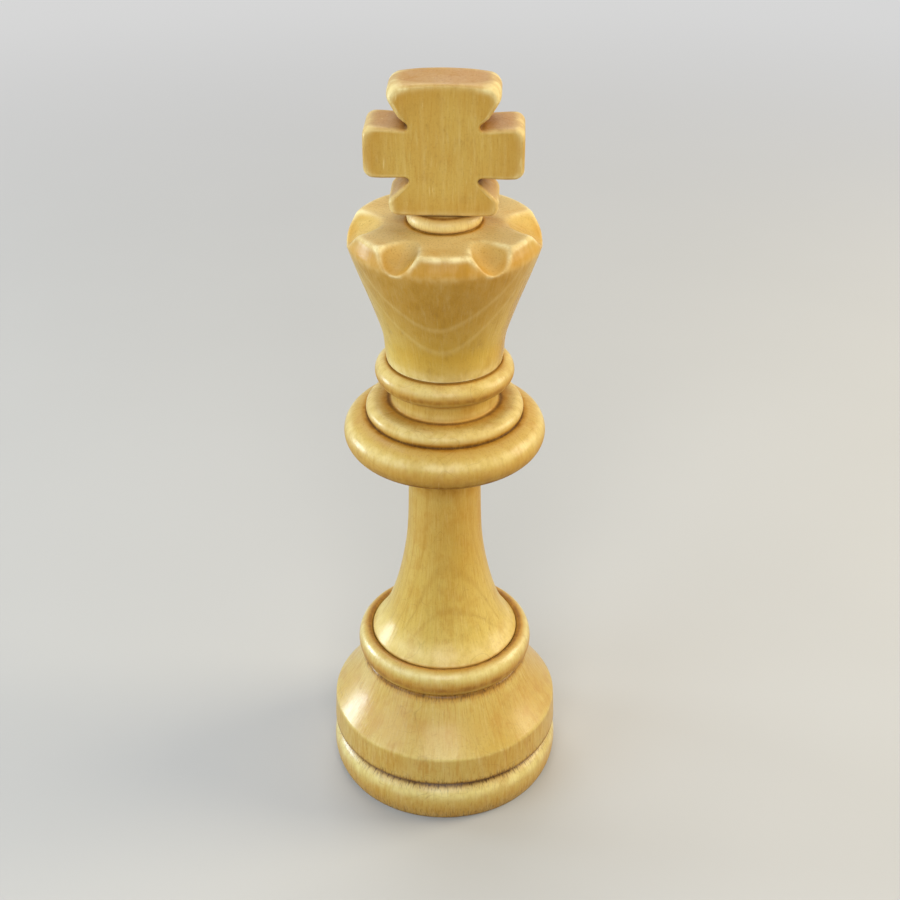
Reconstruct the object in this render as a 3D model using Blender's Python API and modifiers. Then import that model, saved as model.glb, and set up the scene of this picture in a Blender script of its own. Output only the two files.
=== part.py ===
"""Chess king: a turned and carved game piece in pale wood, built as it comes apart on a bench.

A turned base, stem and head stand on each other with glued tenons. A small turned collar and a
cross cut from flat stock sit on the head. A metal slug, its plug and a felt pad are let into the
base from below.

Sizes are in millimetres. Each piece is drawn upwards from its own lower seat and then set at its
height. A pair such as (9.5, 20.0) is a radius and a height. +Z is up, and the front faces -Y.
"""

import math

import bmesh
import bpy
from mathutils import Vector

MM = 0.001

# How finely round shapes are drawn
TURN_STEPS = 40
ARC_STEPS = 6
LEG_STEPS = 3
CORNER_STEPS = 4
EDGE_STEPS = 2
SHARP_ANGLE = math.radians(40)

# Distances in metres within which neighbouring points become one
TURNED_WELD = 0.00001
CAP_WELD = 0.000001

# Glue line between wooden pieces, and the clearance around what is let in
GLUE_GAP = 0.3

# Felt pad
FELT_RADIUS = 13.0
FELT_THICKNESS = 1.0
FELT_PROUD = 0.4

# Base: foot, step, flared top and ring, measured from the wooden rim of the foot
RIM_RADIUS = 14.35
FOOT_RADIUS = 15.1
FOOT_BULGE_HEIGHT = 2.9
FOOT_SHOULDER_REACH = 3.0
FOOT_SHOULDER_RISE = 3.7
GROOVE = (13.3, 6.35)
STEP_BOTTOM = (14.95, 6.5)
STEP_TOP = (14.75, 10.4)
FLARE_MIDDLE = (12.3, 13.9)
FLARE_TOP = (10.5, 17.5)
RING_RADIUS = 11.35
RING_HEIGHT = 19.5
RING_REACH = 1.35
RING_RISE = 1.95
STEM_SEAT = (9.55, 20.85)
STEM_SOCKET_DEPTH = 8.6

# Weight pocket in the base
POCKET_RADIUS = 8.6
POCKET_CEILING = 9.1
PLUG_THICKNESS = 2.0
SLUG_CHAMFER = 0.5

# Stem, measured from the underside of its flared foot
STEM_FOOT_RADIUS = 9.45
STEM_FOOT_EDGE = 0.3
STEM_KNOTS = ((4.57, 26.2), (4.52, 20.8), (4.82, 14.2), (5.92, 8.1), (7.53, 3.2))
STEM_TENON_RADIUS = 4.2
LARGE_COLLAR_RADIUS = 12.2
LARGE_COLLAR_HEIGHT = 30.1
LARGE_COLLAR_REACH = 2.6
LARGE_COLLAR_RISE = 2.45
LARGE_COLLAR_TOP_ANGLE = 88
COLLAR_THROAT = (5.5, 27.1)
SMALL_COLLAR_RADIUS = 9.5
SMALL_COLLAR_HEIGHT = 33.2
SMALL_COLLAR_REACH = 1.25
SMALL_COLLAR_RISE = 1.1
SMALL_COLLAR_SEAM_ANGLE = -35
NECK_RADIUS = 6.4
BEAD_RADIUS = 8.3
BEAD_HEIGHT = 38.2
BEAD_REACH = 1.5
BEAD_RISE = 1.45

# Head, measured from the underside of the cup
HEAD_TENON_RADIUS = 3.4
HEAD_TENON_LENGTH = 8.0
CUP_FOOT_RADIUS = 6.85
CUP_KNOTS = ((11.15, 15.0), (9.96, 11.3), (8.54, 7.45), (7.3, 3.6), (7.0, 1.0))
CROWN_HEIGHT = 16.95
CROWN_EDGE_RADIUS = 10.6
CROWN_EDGE_ROUND = 0.6
PEG_RADIUS = 1.6
PEG_DEPTH_IN_HEAD = 5.45

# Scoops filed across the coronet's rim: bearing from the front in degrees, and the file's radius
SCOOPS = ((-30.0, 2.3), (30.0, 2.3), (-87.0, 3.8), (87.0, 3.8), (-158.0, 2.3), (158.0, 2.3))
SCOOP_INNER_RADIUS = 6.9
SCOOP_LIP = (11.1, 14.5)
SCOOP_CUTTER_LENGTH = 24.0
SCOOP_CUTTER_SIDES = 40

# Collar under the cross, measured from its underside: a button, widest just above its lower edge
FINIAL_RADIUS = 4.35
FINIAL_HEIGHT = 1.1
FINIAL_REACH = 0.8
FINIAL_WIDEST_HEIGHT = 0.2
FINIAL_FOOT_RADIUS = 4.2

# Cross, measured from the underside of its lower arm; the turn sets its right arm nearer the front
CROSS_THICKNESS = 6.2
CROSS_EDGE_ROUND = 0.6
CROSS_TURN = math.radians(-2.5)
CROSS_HEIGHT = 14.85
CROSS_DOME = 0.15
ARM_CORNER = 1.0
WAIST_CORNER = 0.3
# Right half of its outline from the bottom up: distance from the middle, height, corner radius
CROSS_CORNERS = (
    (6.0, 0.0, 0.95),
    (6.1, 1.75, 0.95),
    (3.3, 4.4, WAIST_CORNER),
    (8.75, 4.25, ARM_CORNER),
    (8.75, 10.2, ARM_CORNER),
    (3.2, 9.75, WAIST_CORNER),
    (4.85, 11.05, 1.6),
    (6.15, 12.95, 1.2),
    (6.2, CROSS_HEIGHT - CROSS_DOME, 1.3),
)
PEG_OVERLAP = 2.0

# Where each piece stands, worked out from the table up
BASE_LEVEL = FELT_PROUD
STEM_LEVEL = BASE_LEVEL + STEM_SEAT[1] + GLUE_GAP
BEAD_TOP = BEAD_HEIGHT + BEAD_RISE
HEAD_LEVEL = STEM_LEVEL + BEAD_TOP + GLUE_GAP
FINIAL_LEVEL = HEAD_LEVEL + CROWN_HEIGHT + GLUE_GAP
CROSS_LEVEL = FINIAL_LEVEL + FINIAL_HEIGHT + GLUE_GAP
FELT_RECESS = FELT_THICKNESS + GLUE_GAP - FELT_PROUD
PLUG_LEVEL = BASE_LEVEL + FELT_RECESS
SLUG_LEVEL = PLUG_LEVEL + PLUG_THICKNESS + GLUE_GAP
SLUG_HEIGHT = BASE_LEVEL + POCKET_CEILING - GLUE_GAP - SLUG_LEVEL

# Finishes: base colour, roughness, metallic
PALE_WOOD = ("pale_wood", (0.58, 0.36, 0.10), 0.42, 0.0)
RAW_WOOD = ("raw_wood", (0.52, 0.36, 0.17), 0.75, 0.0)
GREY_IRON = ("grey_iron", (0.18, 0.18, 0.19), 0.6, 1.0)
GREEN_FELT = ("green_felt", (0.02, 0.09, 0.04), 0.95, 0.0)


def clear_scene():
    """Remove every object, so that only the king is left."""
    for thing in list(bpy.data.objects):
        bpy.data.objects.remove(thing, do_unlink=True)


def new_collection(name):
    """A collection linked to the scene."""
    group = bpy.data.collections.new(name)
    bpy.context.scene.collection.children.link(group)
    return group


def finish_material(node_name, finish):
    """A material of the piece's own, with the colour and gloss of a finish."""
    finish_name, colour, roughness, metallic = finish
    material = bpy.data.materials.new(f"{node_name}_{finish_name}")
    material.use_nodes = True
    shader = material.node_tree.nodes["Principled BSDF"]
    shader.inputs["Base Color"].default_value = (*colour, 1.0)
    shader.inputs["Roughness"].default_value = roughness
    shader.inputs["Metallic"].default_value = metallic
    return material


def add_piece(name, mesh, finish, level, parts, frame):
    """Place a mesh as one named piece of the king at its height."""
    piece = bpy.data.objects.new(name, mesh)
    mesh.materials.append(finish_material(name, finish))
    parts.objects.link(piece)
    piece.parent = frame
    piece.location = (0.0, 0.0, level * MM)
    return piece


def arc(centre, reach, rise, start, end):
    """Points on an elliptical arc; angles in degrees run from straight out (0) to straight up (90)."""
    points = []
    for step in range(ARC_STEPS + 1):
        angle = math.radians(start + (end - start) * step / ARC_STEPS)
        points.append((centre[0] + reach * math.cos(angle), centre[1] + rise * math.sin(angle)))
    return points


def flowing_line(knots):
    """Points on a smooth curve through the knots, whose slope at a knot follows its neighbours."""
    last = len(knots) - 1
    points = []
    for leg in range(last):
        before, start, end, after = (Vector(knots[min(max(leg + k, 0), last)]) for k in (-1, 0, 1, 2))
        for step in range(LEG_STEPS):
            t = step / LEG_STEPS
            straight = 2 * start + (end - before) * t
            bend = (2 * before - 5 * start + 4 * end - after) * t ** 2
            twist = (3 * start - before - 3 * end + after) * t ** 3
            points.append(tuple((straight + bend + twist) / 2))
    points.append(knots[last])
    return points


def turned_mesh(name, profile):
    """A mesh that holds the profile as a line in the XZ plane, ready to be turned."""
    mesh = bpy.data.meshes.new(name)
    corners = [(radius * MM, 0.0, height * MM) for radius, height in profile]
    edges = [(i, i + 1) for i in range(len(corners) - 1)]
    mesh.from_pydata(corners, edges, [])
    return mesh


def turn(piece):
    """Turn a piece's profile once around the Z axis, as on a lathe."""
    screw = piece.modifiers.new("turning", "SCREW")
    screw.axis = "Z"
    screw.steps = TURN_STEPS
    screw.render_steps = TURN_STEPS
    screw.use_merge_vertices = True
    screw.merge_threshold = TURNED_WELD
    screw.use_smooth_shade = True


def add_turned(name, profile, finish, level, parts, frame):
    """A turned piece whose profile runs down its outer side from top to bottom."""
    piece = add_piece(name, turned_mesh(name, profile), finish, level, parts, frame)
    turn(piece)
    return piece


def base_profile():
    """Base from the socket's floor up, over the ring and down to the pocket's ceiling."""
    seat_radius, seat_height = STEM_SEAT
    socket_radius = STEM_TENON_RADIUS + GLUE_GAP
    socket_floor = seat_height - STEM_SOCKET_DEPTH
    recess_radius = FELT_RADIUS + GLUE_GAP
    ring_centre = (RING_RADIUS - RING_REACH, RING_HEIGHT)
    shoulder_centre = (FOOT_RADIUS - FOOT_SHOULDER_REACH, FOOT_BULGE_HEIGHT)
    groove_angle = math.degrees(math.acos((GROOVE[0] - shoulder_centre[0]) / FOOT_SHOULDER_REACH))
    rim_angle = math.degrees(math.acos((RIM_RADIUS - shoulder_centre[0]) / FOOT_SHOULDER_REACH))
    rim_rise = FOOT_BULGE_HEIGHT / math.sin(math.radians(rim_angle))
    profile = [(0.0, socket_floor), (socket_radius, socket_floor), (socket_radius, seat_height)]
    profile.append((seat_radius, seat_height))
    profile += arc(ring_centre, RING_REACH, RING_RISE, 90, -90)
    profile += flowing_line((FLARE_TOP, FLARE_MIDDLE, STEP_TOP))
    profile.append(STEP_BOTTOM)
    profile.append(GROOVE)
    profile += arc(shoulder_centre, FOOT_SHOULDER_REACH, FOOT_SHOULDER_RISE, groove_angle, 0)[1:]
    profile += arc(shoulder_centre, FOOT_SHOULDER_REACH, rim_rise, 0, -rim_angle)[1:]
    profile += [(recess_radius, 0.0), (recess_radius, FELT_RECESS), (POCKET_RADIUS, FELT_RECESS)]
    profile += [(POCKET_RADIUS, POCKET_CEILING), (0.0, POCKET_CEILING)]
    return profile


def stem_profile():
    """Stem from its upper tenon down over bead, neck, collars and column to its lower tenon."""
    tenon_top = BEAD_TOP + HEAD_TENON_LENGTH - GLUE_GAP
    tenon_bottom = -STEM_SOCKET_DEPTH
    bead_centre = (BEAD_RADIUS - BEAD_REACH, BEAD_HEIGHT)
    small_centre = (SMALL_COLLAR_RADIUS - SMALL_COLLAR_REACH, SMALL_COLLAR_HEIGHT)
    large_centre = (LARGE_COLLAR_RADIUS - LARGE_COLLAR_REACH, LARGE_COLLAR_HEIGHT)
    profile = [(0.0, tenon_top), (HEAD_TENON_RADIUS, tenon_top), (HEAD_TENON_RADIUS, BEAD_TOP)]
    profile += arc(bead_centre, BEAD_REACH, BEAD_RISE, 90, -90)
    profile.append((NECK_RADIUS, BEAD_HEIGHT - BEAD_RISE))
    profile.append((NECK_RADIUS, SMALL_COLLAR_HEIGHT + SMALL_COLLAR_RISE))
    profile += arc(small_centre, SMALL_COLLAR_REACH, SMALL_COLLAR_RISE, 90, SMALL_COLLAR_SEAM_ANGLE)
    profile += arc(large_centre, LARGE_COLLAR_REACH, LARGE_COLLAR_RISE, LARGE_COLLAR_TOP_ANGLE, -90)
    profile += flowing_line((COLLAR_THROAT, *STEM_KNOTS, (STEM_FOOT_RADIUS, STEM_FOOT_EDGE)))
    profile.append((STEM_FOOT_RADIUS, 0.0))
    profile += [(STEM_TENON_RADIUS, 0.0), (STEM_TENON_RADIUS, tenon_bottom), (0.0, tenon_bottom)]
    return profile


def head_profile():
    """Head from the floor of the peg hole up, over the crown and down the cup to its socket."""
    hole_radius = PEG_RADIUS + GLUE_GAP
    hole_floor = CROWN_HEIGHT - PEG_DEPTH_IN_HEAD - GLUE_GAP
    socket_radius = HEAD_TENON_RADIUS + GLUE_GAP
    edge_centre = (CROWN_EDGE_RADIUS - CROWN_EDGE_ROUND, CROWN_HEIGHT - CROWN_EDGE_ROUND)
    profile = [(0.0, hole_floor), (hole_radius, hole_floor), (hole_radius, CROWN_HEIGHT)]
    profile += arc(edge_centre, CROWN_EDGE_ROUND, CROWN_EDGE_ROUND, 90, 0)
    profile += flowing_line((*CUP_KNOTS, (CUP_FOOT_RADIUS, 0.0)))
    profile += [(socket_radius, 0.0), (socket_radius, HEAD_TENON_LENGTH), (0.0, HEAD_TENON_LENGTH)]
    return profile


def scoop_cutter(number, bearing, file_radius, cutters, frame):
    """A round file's path across the rim: its lowest line runs from the crown out to the lip."""
    inner = Vector((SCOOP_INNER_RADIUS, CROWN_HEIGHT))
    fall = (Vector(SCOOP_LIP) - inner).normalized()
    middle = (inner + Vector(SCOOP_LIP)) / 2 + Vector((-fall.y, fall.x)) * file_radius
    turn_angle = math.radians(bearing - 90)
    bpy.ops.mesh.primitive_cylinder_add(
        vertices=SCOOP_CUTTER_SIDES, radius=file_radius * MM, depth=SCOOP_CUTTER_LENGTH * MM)
    cutter = bpy.context.object
    cutter.name = f"scoop_file_{number}"
    for group in list(cutter.users_collection):
        group.objects.unlink(cutter)
    cutters.objects.link(cutter)
    cutter.parent = frame
    cutter.rotation_euler = (0.0, math.pi / 2 - math.atan2(fall.y, fall.x), turn_angle)
    cutter.location = (
        middle.x * math.cos(turn_angle) * MM,
        middle.x * math.sin(turn_angle) * MM,
        (HEAD_LEVEL + middle.y) * MM,
    )
    cutter.hide_render = True
    cutter.display_type = "WIRE"
    return cutter


def combine(piece, tool, operation):
    """Cut a tool from a piece, or join it on."""
    boolean = piece.modifiers.new(f"{operation.lower()}_{tool.name}", "BOOLEAN")
    boolean.operation = operation
    boolean.solver = "EXACT"
    boolean.object = tool


def add_head(parts, cutters, frame):
    """The turned head, with the scoops filed out of its coronet."""
    head = add_turned("head", head_profile(), PALE_WOOD, HEAD_LEVEL, parts, frame)
    for number, (bearing, file_radius) in enumerate(SCOOPS, 1):
        combine(head, scoop_cutter(number, bearing, file_radius, cutters, frame), "DIFFERENCE")


def finial_profile():
    """Collar under the cross: a closed ring section, down its bulging side and up its bore."""
    bore_radius = PEG_RADIUS + GLUE_GAP
    centre = (FINIAL_RADIUS - FINIAL_REACH, FINIAL_WIDEST_HEIGHT)
    side = arc(centre, FINIAL_REACH, FINIAL_HEIGHT - FINIAL_WIDEST_HEIGHT, 90, 0)
    profile = [(bore_radius, FINIAL_HEIGHT), *side, (FINIAL_FOOT_RADIUS, 0.0), (bore_radius, 0.0)]
    return profile + profile[:1]


def rounded_corner(before, corner, after, radius):
    """Points on the arc of a radius that rounds the corner between two straight edges."""
    back = (before - corner).normalized()
    ahead = (after - corner).normalized()
    half_angle = back.angle(ahead) / 2
    centre = corner + (back + ahead).normalized() * (radius / math.sin(half_angle))
    run = radius / math.tan(half_angle)
    start = (corner + back * run - centre).normalized()
    end = (corner + ahead * run - centre).normalized()
    return [centre + start.slerp(end, step / CORNER_STEPS) * radius for step in range(CORNER_STEPS + 1)]


def cross_outline():
    """Outline of the cross seen from the front, anticlockwise, with every corner rounded."""
    right = list(CROSS_CORNERS)
    left = [(-across, height, radius) for across, height, radius in reversed(right)]
    corners = right + [(0.0, CROSS_HEIGHT, 0.0)] + left
    outline = []
    for index, (across, height, radius) in enumerate(corners):
        corner = Vector((across, height))
        if radius == 0.0:
            outline.append(corner)
            continue
        before = Vector(corners[index - 1][:2])
        after = Vector(corners[(index + 1) % len(corners)][:2])
        outline += rounded_corner(before, corner, after, radius)
    return outline


def cross_curve(frame, cutters):
    """The cross as a filled flat outline of half its thickness each way, with rounded edges."""
    outline = cross_outline()
    drawing = bpy.data.curves.new("cross_outline", "CURVE")
    drawing.dimensions = "2D"
    drawing.fill_mode = "BOTH"
    drawing.extrude = (CROSS_THICKNESS / 2 - CROSS_EDGE_ROUND) * MM
    drawing.bevel_depth = CROSS_EDGE_ROUND * MM
    drawing.bevel_resolution = EDGE_STEPS
    drawing.offset = -CROSS_EDGE_ROUND * MM
    spline = drawing.splines.new("POLY")
    spline.points.add(len(outline) - 1)
    for point, place in zip(spline.points, outline):
        point.co = (place.x * MM, place.y * MM, 0.0, 1.0)
    spline.use_cyclic_u = True
    curve = bpy.data.objects.new("cross_drawing", drawing)
    cutters.objects.link(curve)
    curve.parent = frame
    curve.rotation_euler = (math.pi / 2, 0.0, CROSS_TURN)
    curve.location = (0.0, 0.0, CROSS_LEVEL * MM)
    return curve


def solid_from_curve(curve, name):
    """The evaluated curve as a closed mesh, with its loose caps welded on."""
    graph = bpy.context.evaluated_depsgraph_get()
    mesh = bpy.data.meshes.new_from_object(curve.evaluated_get(graph))
    mesh.name = name
    shape = bmesh.new()
    shape.from_mesh(mesh)
    bmesh.ops.remove_doubles(shape, verts=shape.verts, dist=CAP_WELD)
    bmesh.ops.recalc_face_normals(shape, faces=shape.faces)
    shape.to_mesh(mesh)
    shape.free()
    mesh.materials.clear()
    return mesh


def add_round(name, radius, height, level, group, frame):
    """A plain round piece standing on a level."""
    bpy.ops.mesh.primitive_cylinder_add(vertices=TURN_STEPS, radius=radius * MM, depth=height * MM)
    piece = bpy.context.object
    piece.name = name
    piece.data.name = name
    for old_group in list(piece.users_collection):
        old_group.objects.unlink(piece)
    group.objects.link(piece)
    piece.parent = frame
    piece.location = (0.0, 0.0, (level + height / 2) * MM)
    piece.data.shade_smooth()
    piece.data.set_sharp_from_angle(angle=SHARP_ANGLE)
    return piece


def add_cross(parts, cutters, frame):
    """The cross with its round peg, which passes through the collar into the head."""
    curve = cross_curve(frame, cutters)
    bpy.context.view_layer.update()
    cross = add_piece("cross", solid_from_curve(curve, "cross"), PALE_WOOD, CROSS_LEVEL, parts, frame)
    cross.matrix_world = curve.matrix_world
    bpy.data.objects.remove(curve, do_unlink=True)
    peg_bottom = FINIAL_LEVEL - GLUE_GAP - PEG_DEPTH_IN_HEAD
    peg_length = CROSS_LEVEL + PEG_OVERLAP - peg_bottom
    peg = add_round("cross_peg", PEG_RADIUS, peg_length, peg_bottom, cutters, frame)
    peg.hide_render = True
    peg.display_type = "WIRE"
    combine(cross, peg, "UNION")


def add_weight(parts, frame):
    """The metal slug in the base and the wooden plug that closes its pocket."""
    fitting_radius = POCKET_RADIUS - GLUE_GAP
    slug = add_round("base_weight", fitting_radius, SLUG_HEIGHT, SLUG_LEVEL, parts, frame)
    slug.data.materials.append(finish_material("base_weight", GREY_IRON))
    chamfer = slug.modifiers.new("chamfer", "BEVEL")
    chamfer.width = SLUG_CHAMFER * MM
    chamfer.segments = 1
    chamfer.limit_method = "ANGLE"
    plug = add_round("weight_plug", fitting_radius, PLUG_THICKNESS, PLUG_LEVEL, parts, frame)
    plug.data.materials.append(finish_material("weight_plug", RAW_WOOD))


def add_felt(parts, frame):
    """The felt pad that the king stands on."""
    felt = add_round("felt_pad", FELT_RADIUS, FELT_THICKNESS, 0.0, parts, frame)
    felt.data.materials.append(finish_material("felt_pad", GREEN_FELT))


def build_king():
    """Make every piece of the king around one upright frame."""
    clear_scene()
    parts = new_collection("chess_king")
    cutters = new_collection("chess_king_cutters")
    frame = bpy.data.objects.new("king_frame", None)
    parts.objects.link(frame)
    add_felt(parts, frame)
    add_weight(parts, frame)
    add_turned("base", base_profile(), PALE_WOOD, BASE_LEVEL, parts, frame)
    add_turned("stem", stem_profile(), PALE_WOOD, STEM_LEVEL, parts, frame)
    add_head(parts, cutters, frame)
    add_turned("finial_collar", finial_profile(), PALE_WOOD, FINIAL_LEVEL, parts, frame)
    add_cross(parts, cutters, frame)


build_king()
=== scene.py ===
"""Looks of a turned wooden chess king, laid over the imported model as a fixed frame.

Sizes in the classes are millimetres and become metres when a mesh is written. +Z is up along the
turning axis, the front of the king faces -Y, and the table is at z = 0.
"""

import logging
import math
from dataclasses import dataclass
from enum import Enum
from typing import Sequence

import bmesh
import bpy
import numpy as np
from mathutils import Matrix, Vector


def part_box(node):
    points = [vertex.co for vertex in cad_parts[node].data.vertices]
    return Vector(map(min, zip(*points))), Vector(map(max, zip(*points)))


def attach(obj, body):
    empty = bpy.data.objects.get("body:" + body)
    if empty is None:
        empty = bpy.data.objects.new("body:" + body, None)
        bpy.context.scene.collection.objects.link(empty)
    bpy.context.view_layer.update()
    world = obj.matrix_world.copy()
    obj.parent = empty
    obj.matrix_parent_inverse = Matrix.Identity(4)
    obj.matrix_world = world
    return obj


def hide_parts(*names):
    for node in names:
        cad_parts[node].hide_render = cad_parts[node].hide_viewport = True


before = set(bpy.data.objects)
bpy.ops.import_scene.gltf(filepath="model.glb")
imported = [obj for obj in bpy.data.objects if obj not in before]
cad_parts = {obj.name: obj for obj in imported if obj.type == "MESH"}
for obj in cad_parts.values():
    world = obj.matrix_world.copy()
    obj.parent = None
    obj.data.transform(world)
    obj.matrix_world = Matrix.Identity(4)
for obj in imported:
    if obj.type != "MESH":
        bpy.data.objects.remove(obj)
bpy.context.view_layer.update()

LOG = logging.getLogger("chess_king")

Array = np.ndarray
Pair = tuple[float, float]
Triple = tuple[float, float, float]
Socket = bpy.types.NodeSocket

# One millimetre in metres
MM = 0.001
# Name of the vector attribute that holds places in the stretched-out wood
LAY = "fibre_lay"
# Distance in mm below which two points of a section are one
SAME_SPOT = 1e-4
# Radius in mm of the row of points beside a pole
POLE = 0.4
# Points on a round stretch, on a leg of a flowing line and on a rounded corner
ARC_STEPS, LEG_STEPS, CORNER_STEPS = 33, 24, 17
# Share, lobes, phase and twist for each mm of height of the waves of a hand-turned piece
WOBBLE = ((1.0, 2, 1.0, 0.05), (0.5, 3, -2.0, -0.11), (0.25, 5, 3.0, 0.3))
# Radius in mm within which that wobble fades
WOBBLE_RADIUS = 4.0
# Width in mm of the blur from which rubbed edges stand out
EDGE_BLUR = 0.3
# Upward part of the normal at which painted shade begins on a surface that looks down, and at which it is
# full
LOOKS_DOWN = (0.58, -0.32)
# The same for end grain, above and below
SHOWS_ENDS = (0.375, 1.0)
# Share of the browned varnish that rubbing hands take away
RUB_CLEARS = 0.8


class Slot(Enum):
    """Material slots of the record."""

    PALE_WOOD = "pale_wood"
    PLUG_WOOD = "plug_wood"
    METAL = "weight_metal"
    FELT = "felt"


class Trace(Enum):
    """Per-vertex values that tell a finish where the shape is worn or dirty, and where shade is painted."""

    EDGE = "edge_wear"
    GROOVE = "groove_dirt"
    # Old varnish in hollows, and painted shade where a surface looks down
    PATINA_AND_SHADE = "hollow_patina"
    END_GRAIN = "end_grain"


class Detail(Enum):
    """Spacing in millimetres of the points on a stretch of a section."""

    SEEN = 0.15
    HIDDEN = 0.8


def low(node: str) -> float:
    """Height in mm of a CAD node's lowest point."""
    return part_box(node)[0][2] / MM


def high(node: str) -> float:
    """Height in mm of a CAD node's highest point."""
    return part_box(node)[1][2] / MM


def girth(node: str) -> float:
    """Radius in mm of a round CAD node."""
    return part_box(node)[1][0] / MM


def ramp(values: Array, start: float, end: float) -> Array:
    """Straight rise from 0 at start to 1 at end, held beyond both."""
    return np.clip((values - start) / (end - start), 0.0, 1.0)


def roll(edge: Pair, half: Pair, start: float, end: float) -> Array:
    """Arc of a turned roll: r = r0 - a + a cos t, z = z0 + b sin t.

    Args:
        edge: Radius r0 and height z0 of its outermost point.
        half: Half-axes a across and b upwards.
        start: First angle in degrees, 0 straight out and 90 straight up.
        end: Last angle in degrees.

    Returns:
        Points (n, 2).
    """
    t = np.radians(np.linspace(start, end, ARC_STEPS))
    return np.stack([edge[0] - half[0] + half[0] * np.cos(t), edge[1] + half[1] * np.sin(t)], axis=1)


def flowing_line(knots: Sequence[Pair]) -> Array:
    """Catmull-Rom line: p(t) = (2b + (c-a)t + (2a-5b+4c-d)t^2 + (3b-a-3c+d)t^3) / 2 on each leg b to c.

    Args:
        knots: Points that the line passes through.

    Returns:
        Points (n, 2).
    """
    k = np.asarray(knots, dtype=float)
    padded = np.vstack([k[:1], k, k[-1:]])
    a, b, c, d = (padded[i:len(padded) - 3 + i, None, :] for i in range(4))
    t = np.linspace(0.0, 1.0, LEG_STEPS, endpoint=False)[None, :, None]
    legs = (2 * b + (c - a) * t + (2 * a - 5 * b + 4 * c - d) * t ** 2
            + (3 * b - a - 3 * c + d) * t ** 3) / 2
    return np.vstack([legs.reshape(-1, 2), k[-1:]])


def travelled(points: Array) -> Array:
    """Length along a line of points, or down every column of a grid, from the first point to each."""
    steps = np.linalg.norm(np.diff(points, axis=0), axis=-1)
    return np.concatenate([np.zeros((1, *steps.shape[1:])), np.cumsum(steps, axis=0)])


def resampled(points: Array, spacing: float) -> Array:
    """The same line with points at even steps along its length.

    Args:
        points: Points (n, 2).
        spacing: Wanted step in mm.

    Returns:
        Points (m, 2) with the same ends.
    """
    length = travelled(points)
    keep = np.concatenate([[True], np.diff(length) > SAME_SPOT])
    points, length = points[keep], length[keep]
    places = np.linspace(0.0, length[-1], max(2, round(length[-1] / spacing) + 1))
    return np.stack([np.interp(places, length, points[:, axis]) for axis in range(2)], axis=1)


def blur_weights(places: Array, width: float, period: float | None = None) -> Array:
    """Rows of Gaussian weights w_ij = exp(-(s_i - s_j)^2 / 2 width^2), each with the sum one.

    Args:
        places: Positions along a line (n,).
        width: Standard deviation, in the same unit.
        period: Length of the line if it is closed.

    Returns:
        Matrix (n, n).
    """
    apart = np.abs(places[:, None] - places[None, :])
    if period is not None:
        apart = np.minimum(apart, period - apart)
    weights = np.exp(-0.5 * (apart / width) ** 2)
    return weights / weights.sum(axis=1, keepdims=True)


@dataclass(frozen=True)
class Run:
    """One stretch of a section.

    Attributes:
        points: Corner points (n, 2) as radius and height.
        detail: How closely it is drawn.
        worn: Width in mm over which its corners are worn round.
    """

    points: Array | Sequence[Pair]
    detail: Detail = Detail.HIDDEN
    worn: float = 0.0

    def drawn(self) -> Array:
        """Points of the stretch at even steps, with worn corners and fixed ends.

        Returns:
            Points (n, 2).
        """
        line = resampled(np.asarray(self.points, dtype=float), self.detail.value)
        if self.worn == 0.0:
            return line
        soft = blur_weights(travelled(line), self.worn) @ line
        soft[0], soft[-1] = line[0], line[-1]
        return soft


def joined(*runs: Run) -> Array:
    """One section (n, 2) from stretches that each start where the one before ends."""
    line = np.vstack([run.drawn() for run in runs])
    return line[np.concatenate([[True], np.diff(travelled(line)) > SAME_SPOT])]


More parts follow.
